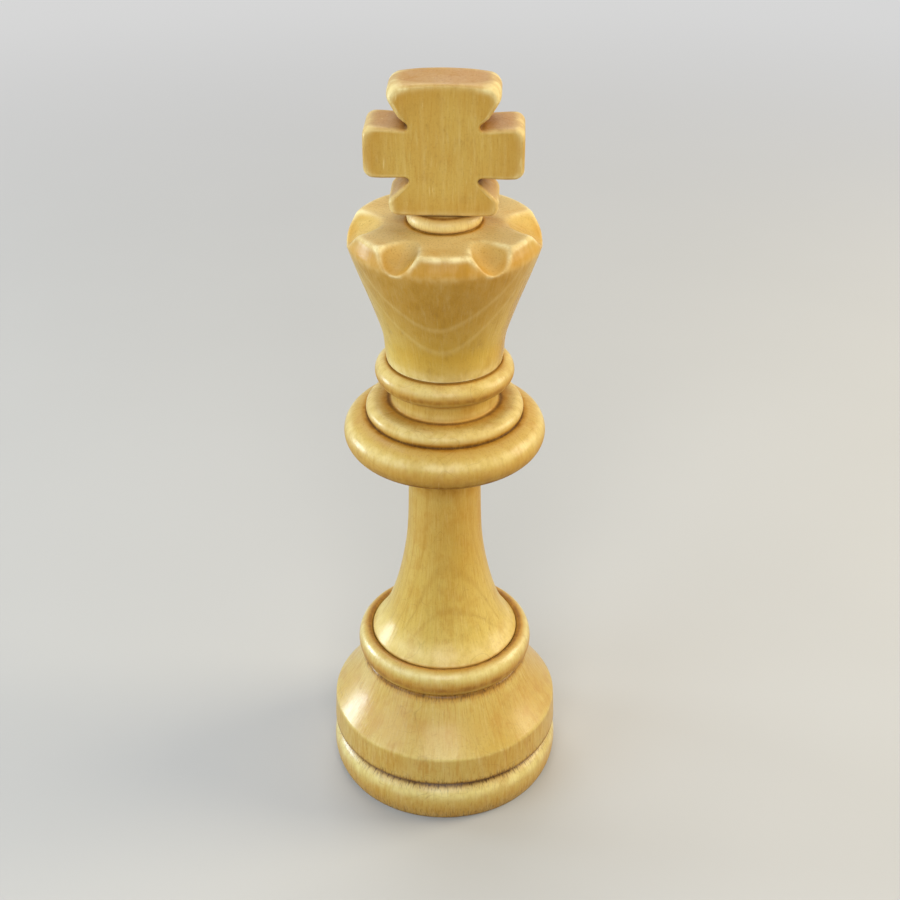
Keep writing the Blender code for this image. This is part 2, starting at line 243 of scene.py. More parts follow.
@dataclass(frozen=True)
class Skin:
    """A closed surface as a grid of points.

    Rows run along the section and columns around it. A capped skin closes in a pole before its
    first row and after its last; a skin that isn't capped closes on itself like a ring.

    Attributes:
        points: Places in mm (rows, columns, 3).
        capped: Whether the ends close in poles.
    """

    points: Array
    capped: bool = True

    def normals(self) -> Array:
        """Outward unit normals, the cross product of the steps along rows and columns.

        Returns:
            Vectors (rows, columns, 3).
        """
        along = np.gradient(self.points, axis=0)
        around = np.roll(self.points, -1, axis=1) - np.roll(self.points, 1, axis=1)
        normal = np.cross(along, around)
        return normal / np.maximum(np.linalg.norm(normal, axis=2, keepdims=True), 1e-12)

    def relief(self, along: float, around: float = 0.0) -> Array:
        """Depth below the blurred surface: h = (blurred p - p) . n, positive in hollows.

        Args:
            along: Width of the blur along the section in mm.
            around: Width of the blur around the piece in mm, zero for none.

        Returns:
            Depths in mm (rows, columns).
        """
        rows = blur_weights(travelled(self.points).mean(axis=1), along)
        soft = np.einsum("ij,jkc->ikc", rows, self.points)
        if around > 0.0:
            steps = np.linalg.norm(np.roll(self.points, -1, axis=1) - self.points, axis=2)
            widest = steps.mean(axis=1).max()
            columns = self.points.shape[1]
            weights = blur_weights(widest * np.arange(columns), around, widest * columns)
            soft = np.einsum("kl,ilc->ikc", weights, soft)
        return ((soft - self.points) * self.normals()).sum(axis=2)

    def vertices(self) -> Array:
        """All places in mm, the poles last.

        Returns:
            Places (n, 3).
        """
        grid = self.points.reshape(-1, 3)
        if not self.capped:
            return grid
        return np.vstack([grid, self.points[0].mean(axis=0), self.points[-1].mean(axis=0)])

    def faces(self) -> list[list[int]]:
        """Quads of the grid and triangles at the poles, wound to face outwards.

        Returns:
            Vertex numbers of each face.
        """
        rows, columns = self.points.shape[:2]
        index = np.arange(rows * columns).reshape(rows, columns)
        lower = index[1:] if self.capped else np.roll(index, -1, axis=0)
        upper = index[:-1] if self.capped else index
        quads = np.stack([upper, lower, np.roll(lower, -1, axis=1), np.roll(upper, -1, axis=1)], axis=-1)
        faces = quads.reshape(-1, 4).tolist()
        if self.capped:
            first, last = index[0], index[-1]
            top, bottom = np.full(columns, rows * columns), np.full(columns, rows * columns + 1)
            faces += np.stack([top, first, np.roll(first, -1)], axis=-1).tolist()
            faces += np.stack([last, bottom, np.roll(last, -1)], axis=-1).tolist()
        return faces

    def values(self, grid: Array) -> Array:
        """Values (rows, columns) as 32-bit numbers in the order of vertices()."""
        ends = [grid[0].mean(), grid[-1].mean()] if self.capped else []
        return np.concatenate([grid.reshape(-1), ends]).astype(np.float32)

    def mesh(self, name: str, traces: dict[Trace, Array], lay: Array) -> bpy.types.Mesh:
        """The skin as a smooth-shaded mesh in metres.

        Args:
            name: Name of the mesh.
            traces: Values (rows, columns) to store on its vertices.
            lay: Places (rows, columns, 3) in the stretched-out wood, stored as a vector.

        Returns:
            The new mesh.
        """
        mesh = bpy.data.meshes.new(name)
        mesh.from_pydata((self.vertices() * MM).tolist(), [], self.faces())
        for trace, grid in traces.items():
            layer = mesh.attributes.new(trace.value, "FLOAT", "POINT")
            layer.data.foreach_set("value", self.values(grid))
        layer = mesh.attributes.new(LAY, "FLOAT_VECTOR", "POINT")
        layer.data.foreach_set("vector", Skin(lay, self.capped).vertices().astype(np.float32).ravel())
        mesh.shade_smooth()
        mesh.validate()
        return mesh

    def unrolled(self, radius: float) -> Array:
        """Grid on a cylinder: (R sin a, -R cos a, s), a the bearing and s the length down the section."""
        turn = np.arctan2(self.points[..., 0], -self.points[..., 1])
        return np.stack([radius * np.sin(turn), -radius * np.cos(turn), travelled(self.points)], axis=-1)


def revolved(section: Array, sides: int, capped: bool = True,
             unround: float = 0.0, seed: float = 0.0) -> Skin:
    """Surface of revolution: (r sin a, -r cos a, z), with r eased inwards by a faint wobble.

    Args:
        section: Radius and height (n, 2), running down the outer side.
        sides: Number of columns.
        capped: False for a ring section that closes on itself.
        unround: Height of the wobble in mm.
        seed: Phase of the wobble.

    Returns:
        The skin.
    """
    turn = np.linspace(0.0, 2 * np.pi, sides, endpoint=False)[None, :]
    radius, height = section[:, :1], section[:, 1:]
    wobble = sum(share * (np.sin(lobes * turn + phase * seed + twist * height) - 1.0)
                 for share, lobes, phase, twist in WOBBLE)
    radius = radius + unround * wobble / 2 * ramp(radius, 0.0, WOBBLE_RADIUS)
    height = np.broadcast_to(height, radius.shape)
    return Skin(np.stack([radius * np.sin(turn), -radius * np.cos(turn), height], axis=-1), capped)


@dataclass(frozen=True)
class Grain:
    """Scale and make of a noise.

    Attributes:
        scale: Number of its features on a mm.
        detail: Number of finer layers.
        rough: How strongly the finer layers show.
        upright: Scale along z beside that across, below one for a pattern drawn out upright.
    """

    scale: float
    detail: float = 2.0
    rough: float = 0.5
    upright: float = 1.0


class NodeBench:
    """Places and wires the shader nodes of one material."""

    def __init__(self, name: str, tree: bpy.types.NodeTree | None = None) -> None:
        """Start a material with a Principled shader, or work on a tree that is there.

        Args:
            name: Name of the material.
            tree: A tree to work on instead of a new material's.
        """
        self.tree = tree
        if tree is None:
            self.material = bpy.data.materials.new(name)
            self.material.use_nodes = True
            self.tree = self.material.node_tree
            self.shader = self.tree.nodes["Principled BSDF"]

    def put(self, socket: Socket, value: object) -> None:
        """Give an input a constant, or wire another node's output to it.

        Args:
            socket: The input.
            value: A number, a tuple or an output socket.
        """
        if isinstance(value, bpy.types.NodeSocket):
            self.tree.links.new(value, socket)
        elif isinstance(value, tuple) and len(value) == 3 and socket.type == "RGBA":
            socket.default_value = (*value, 1.0)
        else:
            socket.default_value = value

    def node(self, kind: str, inputs: Sequence[object] = (), **settings: object) -> bpy.types.Node:
        """Add a node.

        Args:
            kind: Node type without its ShaderNode prefix.
            inputs: Values or sockets for its first inputs; None leaves one alone.
            settings: Properties to set on the node.

        Returns:
            The node.
        """
        node = self.tree.nodes.new(f"ShaderNode{kind}")
        for key, value in settings.items():
            setattr(node, key, value)
        for socket, value in zip(node.inputs, inputs):
            if value is not None:
                self.put(socket, value)
        return node

    def math(self, operation: str, a: object, b: object = None, clamp: bool = False) -> Socket:
        """A Math node's value for one or two numbers."""
        return self.node("Math", (a, b), operation=operation, use_clamp=clamp).outputs[0]

    def times(self, a: object, b: object) -> Socket:
        """The product of two values."""
        return self.math("MULTIPLY", a, b)

    def plus(self, a: object, b: object) -> Socket:
        """The sum of two values."""
        return self.math("ADD", a, b)

    def vector(self, operation: str, *inputs: object, output: int = 0) -> Socket:
        """A Vector Math node's vector, or its number where output is 1."""
        return self.node("VectorMath", inputs, operation=operation).outputs[output]

    def moved(self, vector: Socket, shift: Triple) -> Socket:
        """A vector with an offset added."""
        return self.vector("ADD", vector, shift)

    def from_axis(self, place: Socket, axis: Pair) -> Socket:
        """Distance in mm from an upright axis."""
        across = self.vector("MULTIPLY", self.moved(place, (-axis[0], -axis[1], 0.0)), (1.0, 1.0, 0.0))
        return self.vector("LENGTH", across, output=1)

    def noise(self, vector: Socket, grain: Grain) -> Socket:
        """A Noise Texture's value, about 0.5 on average."""
        drawn = self.vector("MULTIPLY", vector, (1.0, 1.0, grain.upright))
        return self.node("TexNoise", (drawn, None, grain.scale, grain.detail, grain.rough)).outputs[0]

    def span(self, value: Socket, start: float, end: float,
             first: float = 0.0, last: float = 1.0) -> Socket:
        """A value mapped smoothly from start..end to first..last and held beyond."""
        inputs = (value, start, end, first, last)
        return self.node("MapRange", inputs, interpolation_type="SMOOTHSTEP").outputs[0]

    def blend(self, factor: object, a: object, b: object) -> Socket:
        """A colour mixed from a to b.

        Args:
            factor: Share of b, 0 to 1.
            a: First colour.
            b: Second colour.

        Returns:
            The mixed colour.
        """
        node = self.node("Mix", data_type="RGBA")
        for socket, value in zip((node.inputs[0], node.inputs[6], node.inputs[7]), (factor, a, b)):
            self.put(socket, value)
        return node.outputs[2]

    def painted(self, ground: Triple, layers: Sequence[tuple[Socket, Triple]]) -> Socket:
        """A ground colour under layers of paint.

        Args:
            ground: The colour below.
            layers: Cover and colour of each layer, from the lowest up.

        Returns:
            The colour seen.
        """
        colour = ground
        for cover, paint in layers:
            colour = self.blend(cover, colour, paint)
        return colour

    def lay(self) -> Socket:
        """Places in the stretched-out wood, stored on the mesh in mm."""
        return self.node("Attribute", attribute_name=LAY).outputs[1]

    def trace(self, trace: Trace) -> Socket:
        """A per-vertex value stored on the mesh."""
        return self.node("Attribute", attribute_name=trace.value).outputs[2]

    def place(self) -> Socket:
        """Object coordinates in millimetres."""
        return self.vector("SCALE", self.node("TexCoord").outputs[3], None, None, 1.0 / MM)

    def bump(self, height: Socket, strength: float, depth: float) -> Socket:
        """Surface normals from a height, of which one means some depth in mm."""
        return self.node("Bump", (strength, depth * MM, None, height)).outputs[0]

    def surface(self, **inputs: object) -> bpy.types.Material:
        """Fill the shader's inputs by name, with underscores for spaces.

        Args:
            inputs: Values or sockets.

        Returns:
            The finished material.
        """
        for name, value in inputs.items():
            self.put(self.shader.inputs[name.replace("_", " ")], value)
        return self.material


class Finish:
    """The look of a surface."""

    def shade(self, bench: NodeBench) -> bpy.types.Material:
        """Wire the nodes of the look on a bench and hand back its material."""
        raise NotImplementedError


# Noises of the varnished wood, the first four along the fibres
FIBRE = Grain(4.2, 3.0, 0.6, 0.09)
THREAD = Grain(7.5, 2.0, 0.6, 0.17)
STRAND = Grain(0.8, 2.0, 0.55, 0.12)
SCRATCH = Grain(2.2, 1.0, 0.5, 0.15)
CLOUD = Grain(0.16, 2.0, 0.5, 0.4)
MOTTLE = Grain(0.8, 4.0, 0.62, 0.6)
PORES = Grain(4.5, 3.0, 0.6)
PATCH = Grain(0.35, 3.0, 0.6)
# Noise that bends the growth layers, and how far in mm
WARP = Grain(0.09, 1.0, 0.5, 0.15)
WARP_REACH = 2.4
# Start, crest and end of a growth line as shares of the spacing, and how far in mm its band fades
RING_PHASE = (0.62, 0.84, 0.99)
BAND_FADE = 0.3
# Scale on a mm, width and noise level of each set of hairlines
HAIRS = ((0.17, 0.0032, 0.52), (0.24, 0.0045, 0.47), (0.36, 0.0065, 0.54))
# Shift in mm of the pattern for a seed of one
SEED_SHIFT = (17.3, -9.1, 31.7)


@dataclass(frozen=True)
class VarnishedWood(Finish):
    """Dense pale wood with upright fibres, thin growth lines and an aged satin varnish.

    The seed shifts the pattern, so that no two pieces match. A strength tells how clearly a feature
    shows, and a tick is a single fibre that holds dirt beside a groove. Lengths are in mm.

    Attributes:
        pith: Place of the tree's centre across the grain, from the turning axis.
        lean: How far the growth layers lean out for each mm of height, and the height of no lean.
        heart: Distances from the pith between which the wood deepens to amber.
        ring_band: Distances from the pith between which growth lines show.
        straw, amber: Pale and deep body colours.
        pale: Colour of rubbed edges and scratches.
        patina: Old varnish in hollows, and painted shade under rolls and where surfaces look down.
        brown: Deepest varnish and deepest painted shade, and single fibres.
        dark: Dirt in grooves, with painted shadow at some of them.
        gloss: Specular level of the varnish.
        polish: Least and greatest roughness of sound varnish.
        coat, coat_rough: Weight and roughness of the clear coat over it.
    """

    seed: float
    pith: Pair = (5.0, 34.0)
    lean: Pair = (0.0, 0.0)
    heart: Pair = (90.0, 100.0)
    ring_spacing: float = 1.15
    ring_band: Pair = (0.0, 200.0)
    ring_strength: float = 0.06
    ring_tone: Triple = (0.84, 0.70, 0.33)
    strand_strength: float = 0.15
    fibre_strength: float = 0.26
    mottle_strength: float = 0.16
    patch_strength: float = 0.1
    hair_strength: float = 0.14
    scratch_strength: float = 0.1
    tick_strength: float = 0.0
    end_strength: float = 0.3
    straw: Triple = (0.66, 0.49, 0.15)
    amber: Triple = (0.58, 0.38, 0.08)
    pale: Triple = (0.84, 0.70, 0.33)
    patina: Triple = (0.42, 0.18, 0.008)
    brown: Triple = (0.20, 0.075, 0.005)
    dark: Triple = (0.07, 0.03, 0.006)
    end_grain: Triple = (0.50, 0.28, 0.07)
    gloss: float = 0.26
    polish: Pair = (0.3, 0.4)
    coat: float = 0.06
    coat_rough: float = 0.22

    def growth(self, bench: NodeBench, place: Socket, pattern: Socket) -> Socket:
        """Distance to the pith in mm, with the lean and bent a little by slow noise.

        Args:
            bench: Where the nodes go.
            place: Coordinates in mm.
            pattern: Shifted coordinates in mm.

        Returns:
            The distance.
        """
        slope, start = self.lean
        above = bench.moved(place, (0.0, 0.0, -start))
        leant = bench.vector("DOT_PRODUCT", above, (0.0, 0.0, slope), output=1)
        distance = bench.plus(bench.from_axis(place, self.pith), leant)
        return bench.plus(distance, bench.times(bench.noise(pattern, WARP), WARP_REACH))

    def rings(self, bench: NodeBench, distance: Socket) -> Socket:
        """Growth lines: bright where the distance to the pith passes a multiple of the spacing.

        Args:
            bench: Where the nodes go.
            distance: Distance to the pith in mm.

        Returns:
            Line strength, 0 to 1.
        """
        phase = bench.math("FRACT", bench.math("DIVIDE", distance, self.ring_spacing))
        start, crest, end = RING_PHASE
        line = bench.times(bench.span(phase, start, crest), bench.span(phase, crest, end, 1.0, 0.0))
        near, far = self.ring_band
        shown = bench.times(bench.span(distance, near, near + BAND_FADE),
                            bench.span(distance, far, far - BAND_FADE))
        return bench.times(line, shown)

    def hairs(self, bench: NodeBench, lay: Socket) -> Socket:
        """Sparse dark hairlines, smooth curves along the contours of slow noises.

        Args:
            bench: Where the nodes go.
            lay: Places in the stretched-out wood in mm.

        Returns:
            Line strength, 0 to 1.
        """
        lines = []
        for scale, width, level in HAIRS:
            slow = bench.noise(lay, Grain(scale, 0.3, 0.5, 0.7))
            away = bench.math("ABSOLUTE", bench.math("SUBTRACT", slow, level))
            patch = bench.span(bench.noise(lay, Grain(1.1 * scale, 1.0)), 0.4, 0.6)
            lines.append(bench.times(bench.span(away, 0.0, width, 1.0, 0.0), patch))
        return bench.math("MAXIMUM", bench.math("MAXIMUM", lines[0], lines[1]), lines[2])

    def shade(self, bench: NodeBench) -> bpy.types.Material:
        """Paint the wood's figure, then the varnish's wear and dirt, and roughen it to match.

        Args:
            bench: Where the nodes go.

        Returns:
            The finished material.
        """
        place = bench.place()
        shift = tuple(step * self.seed for step in SEED_SHIFT)
        pattern, lay = bench.moved(place, shift), bench.moved(bench.lay(), shift)
        fibre, thread, strand, scratch = (
            bench.noise(lay, grain) for grain in (FIBRE, THREAD, STRAND, SCRATCH))
        cloud, mottle, pores, patch = (
            bench.noise(pattern, grain) for grain in (CLOUD, MOTTLE, PORES, PATCH))
        edge, groove, hollow, upward = (bench.trace(trace) for trace in Trace)
        distance = self.growth(bench, place, pattern)

        beside = bench.math("POWER", groove, 0.4)
        dirt = bench.times(groove, bench.span(thread, 0.3, 0.7, 0.85, 1.12))
        # Patina and painted shade from the trace, broken by mottle
        hollow = bench.times(hollow, bench.span(mottle, 0.35, 0.65, 1.0, 0.78))
        edge = bench.times(edge, bench.span(mottle, 0.35, 0.62, 1.0, 0.45))
        end = bench.times(upward, bench.span(cloud, 0.3, 0.7, 0.6, 1.0))
        fibres = bench.span(upward, 0.05, 0.3, self.fibre_strength, 0.55 * self.fibre_strength)
        ring = bench.times(self.rings(bench, distance), bench.span(upward, 0.0, 0.2, 1.0, 0.0))
        clouded = bench.span(cloud, 0.7, 0.3, 0.0, 0.7)
        deep = bench.math("MAXIMUM", clouded, bench.span(distance, *self.heart))
        colour = bench.painted(self.straw, (
            (deep, self.amber),
            (bench.span(strand, 0.48, 0.78, 0.0, self.strand_strength), self.amber),
            (bench.span(mottle, 0.5, 0.78, 0.0, self.mottle_strength), self.brown),
            (bench.span(patch, 0.5, 0.68, 0.0, self.patch_strength), self.patina),
            (bench.times(fibres, bench.span(fibre, 0.5, 0.68, 0.0, 1.6)), self.patina),
            (bench.times(fibres, bench.span(fibre, 0.48, 0.3)), self.pale),
            (bench.times(fibres, bench.span(thread, 0.58, 0.68)), self.brown),
            (bench.times(ring, self.ring_strength), self.ring_tone),
            (bench.times(end, self.end_strength), self.end_grain),
            (bench.times(end, bench.span(patch, 0.45, 0.68, 0.0, 0.4)), self.patina),
            (bench.times(end, bench.span(pores, 0.5, 0.72, 0.0, 0.3)), self.brown),
            (bench.span(pores, 0.52, 0.72, 0.0, 0.16), self.brown),
            # Patina and painted shade, deepest in brown
            (hollow, self.patina),
            (bench.span(hollow, 0.66, 1.0, 0.0, 0.55), self.brown),
            (bench.times(edge, 0.85), self.pale),
            (bench.span(scratch, 0.7, 0.76, 0.0, self.scratch_strength), self.pale),
            (bench.times(self.hairs(bench, lay), self.hair_strength), self.brown),
            (bench.times(beside, bench.span(thread, 0.5, 0.63, 0.0, self.tick_strength)), self.dark),
            # Dirt in grooves, partly painted contact shadow
            (bench.span(dirt, 0.06, 0.85, 0.0, 0.88), self.dark),
        ))
        rough = bench.plus(bench.span(cloud, 0.3, 0.7, *self.polish), bench.span(dirt, 0.05, 0.6, 0.0, 0.3))
        rough = bench.plus(rough, bench.span(fibre, 0.4, 0.7, 0.0, 0.12))
        rough = bench.math("ADD", rough, bench.span(hollow, 0.2, 0.8, 0.0, 0.4), clamp=True)
        height = bench.plus(bench.times(fibre, 0.6), bench.times(thread, 0.4))
        return bench.surface(
            Base_Color=colour, Roughness=rough, Normal=bench.bump(height, 0.6, 0.08), IOR=1.5,
            Specular_IOR_Level=self.gloss, Coat_Weight=self.coat, Coat_Roughness=self.coat_rough)


@dataclass(frozen=True)
class SawnWood(Finish):
    """Bare wood cut across the grain: light early and deep late wood in rings about a pith beside it."""

    light: Triple = (0.58, 0.41, 0.20)
    deep: Triple = (0.40, 0.25, 0.10)
    pith: Pair = (-11.0, 6.0)
    ring_spacing: float = 0.9

    def shade(self, bench: NodeBench) -> bpy.types.Material:
        """Paint late wood and pores over early wood.

        Args:
            bench: Where the nodes go.

        Returns:
            The finished material.
        """
        place = bench.place()
        bent = bench.plus(bench.from_axis(place, self.pith), bench.noise(place, Grain(0.3)))
        ring = bench.math("FRACT", bench.math("DIVIDE", bent, self.ring_spacing))
        pores = bench.noise(place, Grain(6.0, 3.0, 0.7))
        colour = bench.painted(self.light, (
            (bench.span(ring, 0.3, 1.0), self.deep),
            (bench.span(pores, 0.56, 0.75, 0.0, 0.6), self.deep),
        ))
        return bench.surface(Base_Color=colour, Roughness=bench.span(pores, 0.3, 0.7, 0.7, 0.9),
                             Normal=bench.bump(pores, 0.5, 0.08))


@dataclass(frozen=True)
class CastIron(Finish):
    """Rough grey casting with spots of rust."""

    grey: Triple = (0.20, 0.20, 0.21)
    rust: Triple = (0.16, 0.06, 0.025)

    def shade(self, bench: NodeBench) -> bpy.types.Material:
        """Spot the metal with rust, which is no metal itself.

        Args:
            bench: Where the nodes go.

        Returns:
            The finished material.
        """
        place = bench.place()
        grain = bench.noise(place, Grain(2.6, 5.0, 0.7))
        spots = bench.span(bench.noise(place, Grain(0.35, 3.0)), 0.52, 0.66)
        return bench.surface(
            Base_Color=bench.blend(spots, self.grey, self.rust),
            Metallic=bench.math("SUBTRACT", 1.0, spots, clamp=True),
            Roughness=bench.span(grain, 0.3, 0.7, 0.45, 0.75), Normal=bench.bump(grain, 0.8, 0.2))


@dataclass(frozen=True)
class WoolFelt(Finish):
    """Pressed green wool, deep between bright fibres and worn dull in patches."""

    deep: Triple = (0.010, 0.050, 0.022)
    bright: Triple = (0.030, 0.125, 0.058)
    worn: Triple = (0.07, 0.12, 0.07)

    def shade(self, bench: NodeBench) -> bpy.types.Material:
        """Paint curled fibres and dull patches over the deep colour.

        Args:
            bench: Where the nodes go.

        Returns:
            The finished material.
        """
        place = bench.place()
        bent = bench.vector("ADD", place, bench.node("TexNoise", (place, None, 0.9, 2.0)).outputs[1])
        fibres = bench.noise(bench.vector("MULTIPLY", bent, (1.0, 3.2, 1.0)), Grain(2.4, 5.0, 0.7))
        colour = bench.painted(self.deep, (
            (bench.span(fibres, 0.3, 0.7), self.bright),
            (bench.span(bench.noise(place, Grain(0.2)), 0.5, 0.75, 0.0, 0.35), self.worn),
        ))
        return bench.surface(
            Base_Color=colour, Roughness=bench.span(fibres, 0.3, 0.7, 0.85, 1.0), Sheen_Weight=0.4,
            Sheen_Roughness=0.5, Normal=bench.bump(fibres, 0.9, 0.25))


@dataclass
class Piece:
    """A piece of the king, made anew over one CAD node.

    Attributes:
        node: The CAD node it stands for.
        finish: How its surface looks.
        slot: The record's material slot.
        sides: Number of columns around it.
        cylinder: Radius in mm of the cylinder that its fibres are laid out on.
    """

    node: str
    finish: Finish
    slot: Slot = Slot.PALE_WOOD
    sides: int = 128
    cylinder: float = 10.0

    def skin(self) -> Skin:
        """Shape of the piece, in mm and in its place."""
        raise NotImplementedError

    def traces(self, skin: Skin) -> dict[Trace, Array]:
        """Wear and dirt values (rows, columns) on the grid of the skin."""
        return {}

    def lay(self, skin: Skin) -> Array:
        """Places (rows, columns, 3) in mm along the fibres, which run down the turned surface."""
        return skin.unrolled(self.cylinder)

    def build(self) -> bpy.types.Object:
        """Make the object and tie it to the frame.

        Returns:
            The object.
        """
        skin = self.skin()
        mesh = skin.mesh(f"{self.node}_worn", self.traces(skin), self.lay(skin))
        piece = bpy.data.objects.new(mesh.name, mesh)
        bpy.context.scene.collection.objects.link(piece)
        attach(piece, "root")
        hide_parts(self.node)
        return piece

    def dress(self, piece: bpy.types.Object) -> None:
        """Give the built object its finish."""
        piece.data.materials.clear()
        piece.data.materials.append(self.finish.shade(NodeBench(f"{self.node}_{self.slot.value}")))


@dataclass(frozen=True)
class Crease:
    """A ring-shaped seam or inner corner where dirt and old varnish gather, also used to paint shade under
    rolls.

    Attributes:
        place: Radius and height in the piece's own section.
        dirt: Distance in mm over which the dark line fades.
        brown: Distance in mm over which the browned varnish, and any painted shade, fades.
        strength: How dark its line is, 0 to 1.
        tint: How strong the brown of varnish and painted shade is, 0 to 1.
    """

    place: Pair
    dirt: float = 0.22
    brown: float = 1.1
    strength: float = 1.0
    tint: float = 1.0


@dataclass(frozen=True)
class Rub:
    """A ring-shaped place where hands have rubbed the varnish pale.

    Attributes:
        place: Radius and height in the piece's own section.
        reach: Distance in mm over which it fades.
        strength: How pale it is, 0 to 1.
    """

    place: Pair
    reach: float
    strength: float = 0.6


@dataclass
class VarnishedPiece(Piece):
    """A visible wooden piece, whose varnish is rubbed off edges and gathers along creases, with shade
    painted where it looks down.

    Attributes:
        worn: Width in mm over which its corners are worn round.
        unround: Height in mm of its hand-turned wobble.
        around: Width in mm over which wear is felt around the piece, zero if it is round.
        edge_depth: Relief in mm at which an edge is fully rubbed.
        underside: Strength of the shade painted, in the colour of browned varnish, where the surface looks
            down.
        creases: Where dirt gathers and where shade is painted.
        rubs: Where hands rub.
    """

    worn: float = 0.1
    unround: float = 0.0
    around: float = 0.0
    edge_depth: float = 0.1
    underside: float = 0.0
    creases: tuple[Crease, ...] = ()
    rubs: tuple[Rub, ...] = ()

    def level(self) -> float:
        """Height in mm at which the piece's own section starts."""
        return low(self.node)

    def turned(self, section: Array, capped: bool = True) -> Skin:
        """The piece's own section turned at its level in the frame."""
        return revolved(section + (0.0, self.level()), self.sides, capped, self.unround, self.finish.seed)

    def gathered(self, skin: Skin, rings: Sequence[tuple[Pair, float, float]]) -> Array:
        """Closeness to ring-shaped places, the strongest of s exp(-(d / w)^2).

        Args:
            skin: Shape of the piece.
            rings: Place, fading distance w and strength s of each, in the piece's own section.

        Returns:
            Values (rows, columns).
        """
        radius = np.hypot(skin.points[..., 0], skin.points[..., 1])
        height = skin.points[..., 2] - self.level()
        closest = np.zeros_like(radius)
        for place, width, strength in rings:
            apart = np.hypot(radius - place[0], height - place[1])
            closest = np.maximum(closest, strength * np.exp(-(apart / width) ** 2))
        return closest

    def traces(self, skin: Skin) -> dict[Trace, Array]:
        """Rubbed edges from the relief, dirt from the creases, painted shade from creases and downward
        faces, end grain from how far it looks up.

        Args:
            skin: Shape of the piece.

        Returns:
            Values (rows, columns) of each trace.
        """
        upward = skin.normals()[:, :, 2]
        under = ramp(upward, *LOOKS_DOWN)
        groove = self.gathered(skin, [(each.place, each.dirt, each.strength) for each in self.creases])
        hollow = self.gathered(skin, [(each.place, each.brown, each.tint) for each in self.creases])
        rubbed = self.gathered(skin, [(each.place, each.reach, each.strength) for each in self.rubs])
        # Painted shade: brown varnish colour eased in where the surface looks down
        hollow = np.maximum(hollow, self.underside * under ** 2 * (3.0 - 2.0 * under))
        hollow = hollow * (1.0 - RUB_CLEARS * rubbed)
        edge = ramp(-skin.relief(EDGE_BLUR, self.around), 0.0, self.edge_depth) * (1.0 - hollow)
        return {
            Trace.EDGE: np.maximum(edge, rubbed),
            Trace.GROOVE: groove,
            Trace.PATINA_AND_SHADE: hollow,
            Trace.END_GRAIN: ramp(np.abs(upward), *SHOWS_ENDS),
        }


@dataclass
class Base(VarnishedPiece):
    """Foot, step, flared top and ring, with a socket for the stem and a pocket for the weight.

    Radii are from the turning axis and heights from the foot's underside. A pair is a radius and a
    height, apart from ring_half, the half-axes of the ring across and upwards.
    """

    sides: int = 256
    cylinder: float = 13.0
    worn: float = 0.13
    unround: float = 0.06
    edge_depth: float = 0.2
    # Painted shade where the base looks down
    underside: float = 0.72
    creases: tuple[Crease, ...] = (
        Crease((9.8, 21.45), 0.16, 0.8, 0.15),
        Crease((10.7, 17.45), 0.4, 0.8, 0.6),
        # Painted shade on the lower half of the ring
        Crease((11.35, 19.0), 0.2, 1.15, 0.0, 0.95),
        # Dirt and painted shadow on the foot's shoulder under the step, and along the step's lower edge
        Crease((13.9, 5.85), 0.6, 1.0),
        Crease((14.95, 6.45), 0.45, 0.75, 0.6),
        Crease((14.5, 0.1), 0.6, 0.3, 0.4),
        Crease((14.75, 0.7), 0.75, 0.3, 0.14, 0.0),
        # Painted shade over the whole flare, in the colour of browned varnish
        Crease((12.3, 13.9), 0.1, 4.5, 0.0, 0.34),
    )
    rubs: tuple[Rub, ...] = (Rub((10.95, 20.85), 0.65, 0.75), Rub((14.8, 4.6), 0.9, 0.7))
    rim_radius: float = 14.35
    foot: Pair = (15.1, 2.9)
    bulge_reach: float = 3.0
    shoulder: tuple[Pair, ...] = ((13.3, 6.35), (14.0, 5.64), (14.68, 4.86), (15.0, 4.05))
    step_bottom: Pair = (14.95, 6.5)
    flare: tuple[Pair, ...] = ((10.5, 17.5), (12.3, 13.9), (14.75, 10.4))
    ring: Pair = (11.35, 19.5)
    ring_half: Pair = (1.35, 1.95)
    seat: Pair = (9.58, 20.85)
    seat_rise: float = 0.35
    socket_radius: float = 4.5
    socket_depth: float = 8.6
    recess: Pair = (13.3, 0.9)
    pocket: Pair = (8.6, 9.1)

    def outside(self) -> Array:
        """Section from the stem's seat over the ring, flare, step and foot to the rim.

        Returns:
            Points (n, 2).
        """
        inward = self.foot[0] - self.rim_radius
        rim_angle = math.acos(1.0 - inward / self.bulge_reach)
        bulge_half = (self.bulge_reach, self.foot[1] / math.sin(rim_angle))
        return np.vstack([
            [(self.socket_radius, self.seat[1]), self.seat, (self.seat[0], self.seat[1] + self.seat_rise)],
            roll(self.ring, self.ring_half, 90, -90),
            flowing_line(self.flare),
            [self.step_bottom],
            flowing_line((*self.shoulder, self.foot)),
            roll(self.foot, bulge_half, 0, -math.degrees(rim_angle)),
            [(self.recess[0], 0.0)],
        ])

    def skin(self) -> Skin:
        """The whole turned section, socket first and pocket last.

        Returns:
            The skin.
        """
        floor = self.seat[1] - self.socket_depth
        return self.turned(joined(
            Run([(POLE, floor), (self.socket_radius, floor), (self.socket_radius, self.seat[1])]),
            Run(self.outside(), Detail.SEEN, self.worn),
            Run([(self.recess[0], 0.0), self.recess, (self.pocket[0], self.recess[1]), self.pocket,
                 (POLE, self.pocket[1])]),
        ))


